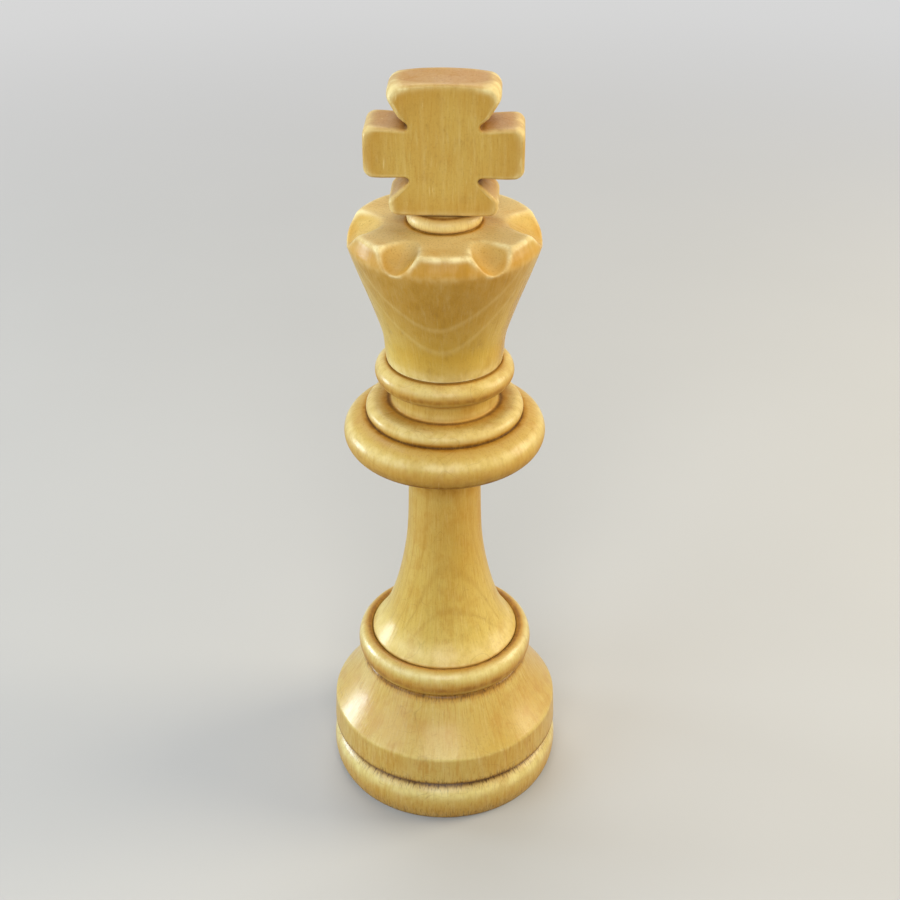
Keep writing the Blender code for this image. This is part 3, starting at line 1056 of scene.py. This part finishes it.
@dataclass
class Stem(VarnishedPiece):
    """Column with two collars, neck and bead, and a tenon at each end.

    Heights are from the foot's underside. The bead and the collars have their outermost point as
    radius and height, and their half-axes across and upwards. The small collar's arc ends at
    small_end and the large one's starts at large_start, in degrees above straight out.
    """

    sides: int = 200
    cylinder: float = 7.5
    worn: float = 0.12
    unround: float = 0.05
    edge_depth: float = 0.06
    # Painted shade where the stem looks down
    underside: float = 0.8
    creases: tuple[Crease, ...] = (
        Crease((6.85, 39.65), 0.12, 0.35, 0.5),
        # Dirt and painted shadow where the neck meets the bead's underside
        Crease((6.6, 36.5), 0.4, 0.8, 0.4),
        # Painted shade on the bead's lower half
        Crease((8.3, 37.85), 0.2, 1.0, 0.0, 0.95),
        Crease((6.75, 34.3), 0.3, 1.0, 0.55),
        Crease((9.35, 32.57), 0.22, 1.0, 0.75),
        Crease((9.9, 32.5), 0.2, 1.9, 0.0, 0.5),
        # Painted shade on the large collar's lower half and underside
        Crease((12.1, 29.7), 0.2, 1.6, 0.0, 0.75),
        Crease((11.4, 28.4), 0.5, 1.5, 0.0),
        # Painted shadow of the large collar on the top of the column
        Crease((4.6, 24.0), 0.2, 3.2, 0.0, 0.85),
        Crease((9.45, 0.0), 0.1, 0.3, 0.1),
    )
    rubs: tuple[Rub, ...] = (
        Rub((7.76, 39.31), 0.6), Rub((8.97, 34.1), 0.5), Rub((11.73, 31.5), 0.8),
        Rub((6.4, 34.8), 0.5, 0.3), Rub((8.8, 1.2), 1.2, 0.5),
    )
    foot: Pair = (9.45, 0.15)
    glue: float = 0.2
    knots: tuple[Pair, ...] = (
        (5.5, 27.1), (4.57, 26.2), (4.52, 20.8), (4.82, 14.2), (5.92, 8.1), (7.53, 3.2))
    lower_tenon: float = 4.2
    lower_length: float = 8.6
    upper_tenon: float = 3.4
    large: Pair = (12.2, 30.1)
    large_half: Pair = (2.6, 2.45)
    large_start: float = 88.0
    small: Pair = (9.5, 33.2)
    small_half: Pair = (1.25, 1.1)
    small_end: float = -35.0
    neck_radius: float = 6.4
    bead: Pair = (8.3, 38.2)
    bead_half: Pair = (1.5, 1.45)

    def level(self) -> float:
        """Height in mm of the foot's underside, above the lower tenon's end."""
        return low(self.node) + self.lower_length

    def outside(self) -> Array:
        """Section from the bead down over the neck, collars and column to the foot.

        Returns:
            Points (n, 2).
        """
        return np.vstack([
            [(self.upper_tenon, self.bead[1] + self.bead_half[1])],
            roll(self.bead, self.bead_half, 90, -90),
            [(self.neck_radius, self.bead[1] - self.bead_half[1]),
             (self.neck_radius, self.small[1] + self.small_half[1])],
            roll(self.small, self.small_half, 90, self.small_end),
            roll(self.large, self.large_half, self.large_start, -90),
            flowing_line((*self.knots, self.foot)),
            [(self.foot[0], -self.glue), (self.lower_tenon, -self.glue)],
        ])

    def skin(self) -> Skin:
        """The whole turned section between the ends of the two tenons.

        Returns:
            The skin.
        """
        outside = self.outside()
        top = high(self.node) - self.level()
        return self.turned(joined(
            Run([(POLE, top), (self.upper_tenon, top), outside[0]]),
            Run(outside, Detail.SEEN, self.worn),
            Run([outside[-1], (self.lower_tenon, -self.lower_length), (POLE, -self.lower_length)]),
        ))


@dataclass(frozen=True)
class Scoop:
    """A hollow filed across the coronet's rim.

    Attributes:
        bearing: Direction from the front in degrees, positive to the right.
        curve: Radius of the hollow across, in mm.
        lip: Height of its floor at the rim's edge, from the underside of the cup.
        inner: Radius at which its floor meets the crown's top.
    """

    bearing: float
    curve: float
    lip: float = 14.5
    inner: float = 6.9


@dataclass
class Head(VarnishedPiece):
    """Turned cup with scoops filed into its rim, a socket below and a peg hole above.

    Heights are from the underside of the cup. Filing reaches from the radius carved_from on the
    crown's top down to the height carved_to on the cup's side, and softness is the width in mm over
    which a scoop's lips are rounded. The scoops keep brown varnish by their depth under a blur of
    sunk_blur, up to sunk_tint at sunk_depth.
    """

    sides: int = 400
    cylinder: float = 9.0
    worn: float = 0.2
    around: float = 0.45
    edge_depth: float = 0.08
    creases: tuple[Crease, ...] = (
        Crease((6.85, -0.2), 0.06, 0.08, 0.5),
        Crease((4.25, 16.95), 0.15, 0.4, 0.4),
        Crease((11.0, 15.2), 0.1, 1.0, 0.0, 0.6),
    )
    rubs: tuple[Rub, ...] = (Rub((6.95, 0.2), 0.9, 0.5),)
    sunk_blur: float = 1.0
    sunk_depth: float = 0.25
    sunk_tint: float = 0.5
    foot_radius: float = 6.85
    glue: float = 0.2
    knots: tuple[Pair, ...] = (
        (10.9, 15.75), (11.1, 15.05), (11.0, 14.3), (9.96, 11.3), (8.54, 7.45), (7.3, 3.6), (7.0, 1.0))
    crown_height: float = 16.95
    edge_radius: float = 10.6
    edge_round: float = 0.5
    lip_radius: float = 11.1
    hole_radius: float = 1.9
    hole_depth: float = 5.75
    socket_radius: float = 3.7
    socket_depth: float = 8.0
    carved_from: float = 5.0
    carved_to: float = 11.0
    softness: float = 0.13
    scoops: tuple[Scoop, ...] = (
        Scoop(-30.0, 1.7), Scoop(30.0, 1.7), Scoop(-87.0, 3.6, 14.3), Scoop(87.0, 3.6, 14.3),
        Scoop(-158.0, 1.7), Scoop(158.0, 1.7),
    )

    def traces(self, skin: Skin) -> dict[Trace, Array]:
        """Browned varnish in the scoops as well as the common traces.

        Args:
            skin: Shape of the piece.

        Returns:
            Values (rows, columns) of each trace.
        """
        traces = super().traces(skin)
        sunk = ramp(skin.relief(self.sunk_blur, self.sunk_blur), 0.0, self.sunk_depth)
        traces[Trace.PATINA_AND_SHADE] = np.maximum(traces[Trace.PATINA_AND_SHADE], self.sunk_tint * sunk)
        return traces

    def rim(self) -> Array:
        """Section over the crown's edge and down the cup, before filing.

        Returns:
            Points (n, 2).
        """
        edge = (self.edge_radius, self.crown_height - self.edge_round)
        return np.vstack([
            [(self.hole_radius, self.crown_height)],
            roll(edge, (self.edge_round, self.edge_round), 90, 0),
            flowing_line((*self.knots, (self.foot_radius, -self.glue))),
            [(self.socket_radius, -self.glue)],
        ])

    def floor(self, scoop: Scoop, places: Array) -> Array:
        """Height of a scoop's floor: z = h - k (s - inner) + t^2 / 2c, s along its bearing and t across.

        Args:
            scoop: The hollow.
            places: Grid of places (rows, columns, 3).

        Returns:
            Heights (rows, columns).
        """
        bearing = math.radians(scoop.bearing)
        along = places[..., 0] * math.sin(bearing) - places[..., 1] * math.cos(bearing)
        across = places[..., 0] * math.cos(bearing) + places[..., 1] * math.sin(bearing)
        fall = (self.crown_height - scoop.lip) / (self.lip_radius - scoop.inner)
        height = self.crown_height - fall * (along - scoop.inner) + across ** 2 / (2.0 * scoop.curve)
        return np.where(along > 0.0, height, np.inf)

    def filed(self, places: Array) -> Array:
        """Grid lowered to the scoops by a soft minimum: z = -k log(sum exp(-z_i / k)).

        Args:
            places: Grid of the turned rim (rows, columns, 3).

        Returns:
            The grid with filed heights.
        """
        layers = np.stack([places[..., 2], *(self.floor(scoop, places) for scoop in self.scoops)])
        lowest = layers.min(axis=0)
        filed = lowest - self.softness * np.log(np.exp((lowest - layers) / self.softness).sum(axis=0))
        return np.concatenate([places[..., :2], filed[..., None]], axis=-1)

    @staticmethod
    def spread(places: Array) -> Array:
        """Grid whose points lie at even steps along every column.

        The columns follow each other two apart on one rising line, so that one interpolation does all.

        Args:
            places: Grid (rows, columns, 3).

        Returns:
            Grid of the same shape.
        """
        rows, columns = places.shape[:2]
        start = 2.0 * np.arange(columns)
        length = travelled(places)
        share = (length / length[-1] + start).T.ravel()
        wanted = (np.linspace(0.0, 1.0, rows)[:, None] + start).T.ravel()
        flat = [np.interp(wanted, share, places[..., axis].T.ravel()) for axis in range(3)]
        return np.stack([values.reshape(columns, rows).T for values in flat], axis=-1)

    def skin(self) -> Skin:
        """Turned section with the stretch over the crown filed column by column.

        Returns:
            The skin.
        """
        hole = self.crown_height - self.hole_depth
        inner = Run([(POLE, hole), (self.hole_radius, hole), (self.hole_radius, self.crown_height)])
        rim = Run(self.rim(), Detail.SEEN, self.worn).drawn()
        outer = Run([rim[-1], (self.socket_radius, self.socket_depth), (POLE, self.socket_depth)])
        crest = np.argmax(rim[:, 0])
        start = np.argmax(rim[:, 0] > self.carved_from)
        end = crest + np.argmax(rim[crest:, 1] < self.carved_to)
        stretches = (inner.drawn()[:-1], rim[:start], rim[start:end], rim[end:], outer.drawn()[1:])
        grids = [revolved(stretch, self.sides).points for stretch in stretches]
        grids[2] = self.spread(self.filed(grids[2]))
        return Skin(np.concatenate(grids) + (0.0, 0.0, self.level()))


@dataclass
class FinialCollar(VarnishedPiece):
    """Small turned button under the cross, widest just above its lower edge.

    Its widest point is a radius and a height above its underside, its side curves in by reach, and
    squeeze is how far in mm it fills the glue lines above and below.
    """

    sides: int = 160
    cylinder: float = 4.3
    unround: float = 0.04
    # First: painted shadow of the cross on the top; second: dirt in the lower glue line
    creases: tuple[Crease, ...] = (Crease((3.5, 1.3), 0.4, 0.7, 0.4), Crease((4.3, -0.2), 0.2, 0.35, 0.6))
    widest: Pair = (4.35, 0.25)
    reach: float = 0.75
    foot_radius: float = 4.25
    bore: float = 1.9
    squeeze: float = 0.2

    def skin(self) -> Skin:
        """Closed ring section, down its rounded side and up its bore.

        Returns:
            The skin.
        """
        bottom, top = -self.squeeze, high(self.node) - low(self.node) + self.squeeze
        side = roll(self.widest, (self.reach, top - self.widest[1]), 90, 0)
        wall = np.vstack([[(self.bore, top)], side, [(self.foot_radius, bottom), (self.bore, bottom)]])
        section = joined(
            Run(wall, Detail.SEEN, self.worn),
            Run([(self.bore, bottom), (self.bore, top)], Detail.SEEN),
        )
        return self.turned(section[:-1], capped=False)


@dataclass
class Cross(VarnishedPiece):
    """Cross cut from flat stock, its edges rubbed round, wider rounding towards the arm ends.

    The outline is star-shaped about the middle of the arms, so every row of the broad faces is the
    outline drawn in towards that point. Lengths are in mm, heights from the cross's underside. Spots
    are those of the right half, and a reach is the distance over which something fades.

    Attributes:
        turn: Angle in degrees by which it was glued off square.
        height: Height without the peg.
        corners: Place across, height and radius of each corner.
        end_corners, top_corners: Where the rounding of the edges widens.
        waists: Inner corners between the arms, where it narrows and where dirt gathers and shadow is
            painted.
        end_round, top_round: How much wider it gets, across the thickness and across the face.
        tip_rise: Distances from the middle between which the arms turn browner.
        dirt_and_shadow_rows: How many times the rows that hold dirt and painted shadow go into all the
            rows.
        pole_share: Size of a face's innermost row beside the outline.
    """

    around: float = 0.45
    edge_depth: float = 0.13
    thickness: float = 6.2
    turn: float = -2.5
    height: float = 14.85
    middle: float = 7.25
    spacing: float = 0.14
    line_blur: float = 0.13
    corners: tuple[Triple, ...] = (
        (6.0, 0.0, 0.95), (6.1, 1.75, 0.95), (3.3, 4.4, 0.3), (8.75, 4.25, 1.0), (8.75, 10.2, 1.0),
        (3.2, 9.75, 0.3), (4.85, 11.05, 1.6), (6.15, 12.95, 1.2), (6.2, 14.7, 1.3),
    )
    crown_radius: float = 30.0
    end_corners: tuple[Pair, ...] = ((6.0, 0.7), (8.75, 4.25), (8.75, 10.2))
    top_corners: tuple[Pair, ...] = ((6.2, 14.7),)
    waists: tuple[Pair, ...] = ((3.3, 4.4), (3.2, 9.75))
    edge_round: float = 0.38
    end_round: Pair = (0.6, 0.15)
    top_round: Pair = (1.9, 0.35)
    waist_round: float = 0.2
    end_reach: float = 1.2
    top_reach: float = 2.2
    waist_reach: float = 0.9
    dirt_and_shadow_reach: float = 1.1
    brown_and_shadow_reach: float = 2.6
    tip_rise: Pair = (4.5, 8.5)
    tip_brown: float = 0.5
    dirt_and_shadow_rows: float = 3.0
    pole_share: float = 0.02
    face_steps: int = 40
    edge_steps: int = 15
    side_steps: int = 15
    peg_radius: float = 1.6
    peg_overlap: float = 0.2
    peg_ease: float = 0.3
    peg_pole: float = 0.3
    peg_sides: int = 64

    @staticmethod
    def rounded(before: Array, corner: Array, after: Array, radius: float) -> Array:
        """Arc that rounds a corner between two straight edges.

        Args:
            before: Corner before it.
            corner: The corner.
            after: Corner after it.
            radius: Radius of the arc.

        Returns:
            Points (n, 2).
        """
        back = (before - corner) / np.linalg.norm(before - corner)
        ahead = (after - corner) / np.linalg.norm(after - corner)
        half = math.acos(float(np.clip(back @ ahead, -1.0, 1.0))) / 2
        inward = (back + ahead) / np.linalg.norm(back + ahead)
        centre = corner + inward * radius / math.sin(half)
        swing = np.linspace(-1.0, 1.0, CORNER_STEPS)[:, None] * (math.pi / 2 - half)
        sideways = (ahead - back) / np.linalg.norm(ahead - back)
        return centre + radius * (np.sin(swing) * sideways - np.cos(swing) * inward)

    def outline(self) -> Array:
        """Closed outline from the front, anticlockwise, at even steps.

        Returns:
            Points (n, 2).
        """
        left = [(-across, height, radius) for across, height, radius in reversed(self.corners)]
        corners = np.array([*self.corners, (0.0, self.height, self.crown_radius), *left])
        spots, radii = corners[:, :2], corners[:, 2]
        arcs = [self.rounded(spots[i - 1], spots[i], spots[(i + 1) % len(spots)], radii[i])
                for i in range(len(spots))]
        line = resampled(np.vstack([*arcs, arcs[0][:1]]), self.spacing)[:-1]
        length = travelled(np.vstack([line, line[:1]]))
        return blur_weights(length[:-1], self.line_blur, length[-1]) @ line

    @staticmethod
    def near(line: Array, spots: Sequence[Pair], reach: float) -> Array:
        """Closeness exp(-(d / reach)^2) of a line to the nearest of some spots or their mirror images."""
        both = np.vstack([spots, np.asarray(spots) * (-1.0, 1.0)])
        return np.exp(-(np.linalg.norm(line[:, None, :] - both, axis=2).min(axis=1) / reach) ** 2)

    def section(self, line: Array) -> Array:
        """Rows from the middle of the front face over the edge to the middle of the back face.

        On the edge, inset = e (1 - cos a) and depth = t/2 - b (1 - sin a), where e and b grow towards
        the arm ends; on the faces the outline shrinks towards the middle.

        Args:
            line: Outline (n, 2).

        Returns:
            Grid of across, depth and height (rows, n, 3).
        """
        ahead = np.roll(line, -1, axis=0) - np.roll(line, 1, axis=0)
        ahead = ahead / np.linalg.norm(ahead, axis=1, keepdims=True)
        inward = np.stack([-ahead[:, 1], ahead[:, 0]], axis=1)
        end = self.near(line, self.end_corners, self.end_reach)
        top = self.near(line, self.top_corners, self.top_reach)
        plain = self.edge_round - self.waist_round * self.near(line, self.waists, self.waist_reach)
        bite, inset = (plain + wider * end + widest * top
                       for wider, widest in zip(self.end_round, self.top_round))
        half = self.thickness / 2
        angle = np.radians(np.linspace(90.0, 0.0, self.edge_steps))[:, None]
        edge = line + inward * (inset * (1.0 - np.cos(angle)))[..., None]
        edge_depth = half - bite * (1.0 - np.sin(angle))
        centre = np.array([0.0, self.middle])
        share = np.linspace(self.pole_share, 1.0, self.face_steps)[:-1, None, None]
        face = centre + (edge[0] - centre) * share
        flat = np.concatenate([face, edge])
        depth = np.concatenate([np.full(face.shape[:2], half), edge_depth])
        side_depth = np.linspace(-1.0, 1.0, self.side_steps)[1:-1, None] * edge_depth[-1]
        side = np.broadcast_to(line, (*side_depth.shape, 2))
        stretches = ((flat, -depth), (side, side_depth), (flat[::-1], depth[::-1]))
        return np.concatenate([np.stack([spots[..., 0], deep, spots[..., 1]], axis=-1)
                               for spots, deep in stretches])

    def traces(self, skin: Skin) -> dict[Trace, Array]:
        """Dirt and painted shadow in the waists and brown tips as well as the common traces, strongest
        halfway through.

        Args:
            skin: Shape of the piece.

        Returns:
            Values (rows, columns) of each trace.
        """
        traces = super().traces(skin)
        line = self.outline()
        through = np.linspace(-self.dirt_and_shadow_rows, self.dirt_and_shadow_rows, len(skin.points))[:, None]
        inside = 1.0 - np.clip(through, -1.0, 1.0) ** 2
        outward = np.linalg.norm(skin.points - skin.points[:1].mean(axis=1, keepdims=True), axis=2)
        # Painted shadow of the arms and dirt in the waists, browned like old varnish
        brown = self.near(line, self.waists, self.brown_and_shadow_reach) * inside
        traces[Trace.EDGE] = traces[Trace.EDGE] * (1.0 - self.near(line, self.waists, self.waist_reach))
        # Dark dirt and painted shadow in the waists
        traces[Trace.GROOVE] = self.near(line, self.waists, self.dirt_and_shadow_reach) * inside
        traces[Trace.PATINA_AND_SHADE] = np.maximum(brown, self.tip_brown * ramp(outward, *self.tip_rise))
        return traces

    def lay(self, skin: Skin) -> Array:
        """Places along the fibres, which run straight up through the cross."""
        return skin.points

    def skin(self) -> Skin:
        """The cross turned a little off square, as it was glued, at its level in the frame.

        Returns:
            The skin.
        """
        grid = self.section(self.outline())
        turn = math.radians(self.turn)
        across = grid[..., 0] * math.cos(turn) - grid[..., 1] * math.sin(turn)
        depth = grid[..., 0] * math.sin(turn) + grid[..., 1] * math.cos(turn)
        height = grid[..., 2] + high(self.node) - self.height
        return Skin(np.stack([across, depth, height], axis=-1))

    def peg(self) -> Skin:
        """Round peg from just inside the cross down to the CAD node's lowest point.

        Returns:
            The skin.
        """
        bottom, top = low(self.node), high(self.node) - self.height + self.peg_overlap
        return revolved(joined(Run([
            (self.peg_pole, top), (self.peg_radius, top), (self.peg_radius, bottom + self.peg_ease),
            (self.peg_radius - self.peg_ease, bottom), (self.peg_pole, bottom),
        ])), self.peg_sides)

    def build(self) -> bpy.types.Object:
        """Make the cross with its peg as one mesh.

        Returns:
            The object.
        """
        piece = super().build()
        peg = self.peg()
        mesh = peg.mesh("cross_peg", {}, peg.points)
        both = bmesh.new()
        both.from_mesh(piece.data)
        both.from_mesh(mesh)
        both.to_mesh(piece.data)
        both.free()
        bpy.data.meshes.remove(mesh)
        return piece


@dataclass
class PlainRound(Piece):
    """A plain round piece with edges eased by some mm: the metal slug and the plug under it."""

    ease: float = 0.3

    def skin(self) -> Skin:
        """Disc that fills the CAD node's box.

        Returns:
            The skin.
        """
        radius, bottom, top = girth(self.node), low(self.node), high(self.node)
        return revolved(joined(Run([
            (POLE, top), (radius - self.ease, top), (radius, top - self.ease),
            (radius, bottom + self.ease), (radius - self.ease, bottom), (POLE, bottom),
        ], Detail.SEEN, self.ease / 3)), self.sides)


@dataclass
class FeltPad(Piece):
    """Felt disc under the base, faintly uneven above and flat where the king stands on it.

    Attributes:
        uneven: Depth u of its dips in mm.
        waves: How fast the dips follow each other along x and y, in radians on a mm.
    """

    sides: int = 192
    uneven: float = 0.05
    waves: Pair = (0.9, 0.7)

    def skin(self) -> Skin:
        """Disc with soft edges, whose top dips by u (1 + sin ax sin by) / 2, a and b the waves.

        Returns:
            The skin.
        """
        radius, bottom, top = girth(self.node), low(self.node), high(self.node)
        half = (top - bottom) / 2
        section = joined(
            Run([(POLE, top), (radius - half, top)]),
            Run(roll((radius, bottom + half), (half, half), 90, -90), Detail.SEEN),
            Run([(radius - half, bottom), (POLE, bottom)]),
        )
        places = revolved(section, self.sides).points
        waves = np.sin(self.waves[0] * places[..., 0]) * np.sin(self.waves[1] * places[..., 1])
        places[..., 2] -= self.uneven * (1.0 + waves) / 2 * ramp(places[..., 2], bottom, top)
        return Skin(places)

    def build(self) -> bpy.types.Object:
        """Returns:
            The object.
        """
        piece = super().build()
        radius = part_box(self.node)[1][0]
        return piece


@dataclass(frozen=True)
class Lamp:
    """A square soft lamp: its place and the length of its side in mm, and its power in watts."""

    name: str
    place: Triple
    size: float
    power: float
    colour: Triple
    aim: float = 45.0

    def build(self) -> None:
        """Set the lamp up, facing the turning axis at the height aim."""
        data = bpy.data.lights.new(self.name, "AREA")
        data.shape = "SQUARE"
        data.size = self.size * MM
        data.energy = self.power
        data.color = self.colour
        lamp = bpy.data.objects.new(self.name, data)
        across, depth, height = self.place
        tilt = math.atan2(math.hypot(across, depth), height - self.aim)
        lamp.location = tuple(part * MM for part in self.place)
        lamp.rotation_euler = (tilt, 0.0, math.atan2(depth, across) + math.pi / 2)
        bpy.context.scene.collection.objects.link(lamp)


@dataclass(frozen=True)
class Studio:
    """Pale floor, soft lamps and the camera at the photo's viewing angle.

    Lengths are in mm, apart from clip, the nearest and farthest distance in metres that is shown.

    Attributes:
        floor_bounce: Colour with which the floor throws light back, as a dark table top does.
        floor_shade: Tone of the floor's faint clouds beside its own.
        haze: Distances over which the floor fades into the background.
        background: Pale tone of the background.
        ambient: Strength of the even light from all round.
        tilt_down: How far the camera looks down, in degrees.
        shift: Sideways shift of its picture.
    """

    floor_colour: Triple = (0.53, 0.53, 0.525)
    floor_bounce: Triple = (0.25, 0.25, 0.25)
    floor_shade: float = 0.985
    floor_radius: float = 3000.0
    floor_sides: int = 96
    haze: Pair = (110.0, 420.0)
    background: float = 0.68
    sky_colour: Triple = (1.0, 0.99, 0.97)
    ambient: float = 0.22
    lamps: tuple[Lamp, ...] = (
        Lamp("window_left", (-420.0, 110.0, 62.0), 120.0, 1.15, (0.82, 0.92, 1.0)),
        Lamp("sky_left", (-330.0, -200.0, 160.0), 260.0, 0.6, (0.66, 0.83, 1.0)),
        Lamp("fill_right", (400.0, 40.0, 200.0), 240.0, 1.7, (1.0, 0.89, 0.66)),
        Lamp("ceiling", (-60.0, 260.0, 540.0), 360.0, 1.4, (0.97, 0.98, 1.0)),
        Lamp("room_front", (-20.0, -470.0, 330.0), 340.0, 1.95, (1.0, 0.96, 0.88)),
    )
    lens: float = 59.66
    sensor: float = 36.0
    eye: Triple = (0.0, -156.08, 143.84)
    tilt_down: float = 31.481
    shift: float = 0.006
    clip: Pair = (0.01, 20.0)

    @staticmethod
    def seen(bench: NodeBench) -> Socket:
        """One for rays that look at a surface, also in a mirror or through glass, zero for its bounce.

        Args:
            bench: Where the nodes go.

        Returns:
            The mask.
        """
        path = bench.node("LightPath").outputs
        seen = bench.math("MAXIMUM", path["Is Camera Ray"], path["Is Glossy Ray"])
        return bench.math("MAXIMUM", seen, path["Is Transmission Ray"])

    def floor(self) -> None:
        """A large round floor at the height of the felt's underside."""
        turn = np.linspace(0.0, 2 * np.pi, self.floor_sides, endpoint=False)
        rim = np.stack([np.cos(turn), np.sin(turn), 0.0 * turn], axis=1) * self.floor_radius * MM
        mesh = bpy.data.meshes.new("studio_floor")
        mesh.from_pydata(rim.tolist(), [], [list(range(len(rim)))])
        floor = bpy.data.objects.new("studio_floor", mesh)
        bpy.context.scene.collection.objects.link(floor)
        bench = NodeBench("studio_floor")
        place, seen = bench.place(), self.seen(bench)
        far = bench.times(seen, bench.span(bench.vector("LENGTH", place, output=1), *self.haze))
        tone = bench.span(bench.noise(place, Grain(0.02, 3.0)), 0.3, 0.7)
        shaded = tuple(self.floor_shade * part for part in self.floor_colour)
        near = bench.blend(seen, self.floor_bounce, bench.blend(tone, self.floor_colour, shaded))
        mesh.materials.append(bench.surface(
            Base_Color=bench.blend(far, near, (0.0, 0.0, 0.0)), Roughness=0.7, Specular_IOR_Level=0.0,
            Emission_Color=(1.0, 1.0, 1.0), Emission_Strength=bench.times(far, self.background)))

    def sky(self) -> None:
        """Even light from all round, pale where it is looked at."""
        world = bpy.data.worlds.new("studio")
        world.use_nodes = True
        bench = NodeBench("studio_sky", world.node_tree)
        inputs = world.node_tree.nodes["Background"].inputs
        bench.put(inputs["Color"], self.sky_colour)
        bench.put(inputs["Strength"], bench.span(self.seen(bench), 0.0, 1.0, self.ambient, self.background))
        bpy.context.scene.world = world

    def camera(self) -> None:
        """The camera that was fitted to the photo's outline."""
        data = bpy.data.cameras.new("photo_view")
        data.sensor_width = self.sensor
        data.lens = self.lens
        data.shift_x = self.shift
        data.clip_start, data.clip_end = self.clip
        camera = bpy.data.objects.new("photo_view", data)
        camera.location = tuple(part * MM for part in self.eye)
        camera.rotation_euler = (math.radians(90.0 - self.tilt_down), 0.0, 0.0)
        bpy.context.scene.collection.objects.link(camera)
        bpy.context.scene.camera = camera

    def build(self) -> None:
        """Set the floor, light and camera."""
        self.floor()
        self.sky()
        for lamp in self.lamps:
            lamp.build()
        self.camera()
        bpy.context.scene.view_settings.view_transform = "Standard"


BASE_WOOD = VarnishedWood(
    1.0, ring_strength=0.13, patch_strength=0.26, hair_strength=0.26, tick_strength=1.0,
    straw=(0.62, 0.49, 0.135), amber=(0.56, 0.37, 0.06), pale=(0.80, 0.70, 0.32),
    gloss=0.34, polish=(0.27, 0.36), coat=0.28)
STEM_WOOD = VarnishedWood(
    2.0, pith=(-6.0, 30.0), ring_strength=0.2, ring_tone=(0.34, 0.17, 0.02), fibre_strength=0.16,
    mottle_strength=0.2, patch_strength=0.24, hair_strength=0.2, straw=(0.67, 0.515, 0.14),
    amber=(0.58, 0.39, 0.065), gloss=0.16, polish=(0.27, 0.36), coat=0.18, coat_rough=0.2)
HEAD_WOOD = VarnishedWood(
    3.0, pith=(2.0, 26.7), lean=(0.15, 70.0), heart=(29.7, 38.7), ring_spacing=1.605,
    ring_band=(34.2, 37.4), ring_strength=0.1, ring_tone=(0.92, 0.79, 0.40), strand_strength=0.12,
    fibre_strength=0.06, mottle_strength=0.24, hair_strength=0.0, scratch_strength=0.0, end_strength=0.85,
    straw=(0.66, 0.46, 0.09), amber=(0.44, 0.22, 0.012), pale=(0.94, 0.83, 0.46),
    patina=(0.54, 0.25, 0.01), end_grain=(0.74, 0.55, 0.23), gloss=0.09, polish=(0.24, 0.33), coat=0.14)
COLLAR_WOOD = VarnishedWood(4.0, hair_strength=0.0, straw=(0.78, 0.63, 0.26))
CROSS_WOOD = VarnishedWood(
    5.0, pith=(-20.0, 22.0), strand_strength=0.12, fibre_strength=0.12, mottle_strength=0.22,
    hair_strength=0.0, scratch_strength=0.3, end_strength=0.85, straw=(0.58, 0.39, 0.09),
    amber=(0.54, 0.32, 0.06), end_grain=(0.60, 0.39, 0.22), gloss=0.12, polish=(0.26, 0.34),
    coat=0.14, coat_rough=0.2)


def king() -> list[Piece]:
    """The pieces of the king from the table up.

    Returns:
        The pieces, in the order in which they are built.
    """
    return [
        FeltPad("felt_pad", WoolFelt(), Slot.FELT),
        PlainRound("weight_plug", SawnWood(), Slot.PLUG_WOOD),
        PlainRound("base_weight", CastIron(), Slot.METAL, ease=0.5),
        Base("base", BASE_WOOD),
        Stem("stem", STEM_WOOD),
        Head("head", HEAD_WOOD),
        FinialCollar("finial_collar", COLLAR_WOOD),
        Cross("cross", CROSS_WOOD),
    ]


def main() -> None:
    """Build and dress every piece, log its faces and slot, and set up the studio."""
    logging.basicConfig(level=logging.INFO, format="%(name)s: %(message)s")
    for part in king():
        piece = part.build()
        part.dress(piece)
        LOG.info("%s: %d faces, slot %s", piece.name, len(piece.data.polygons), part.slot.value)
    Studio().build()
    bpy.context.view_layer.update()


if __name__ == "__main__":
    main()
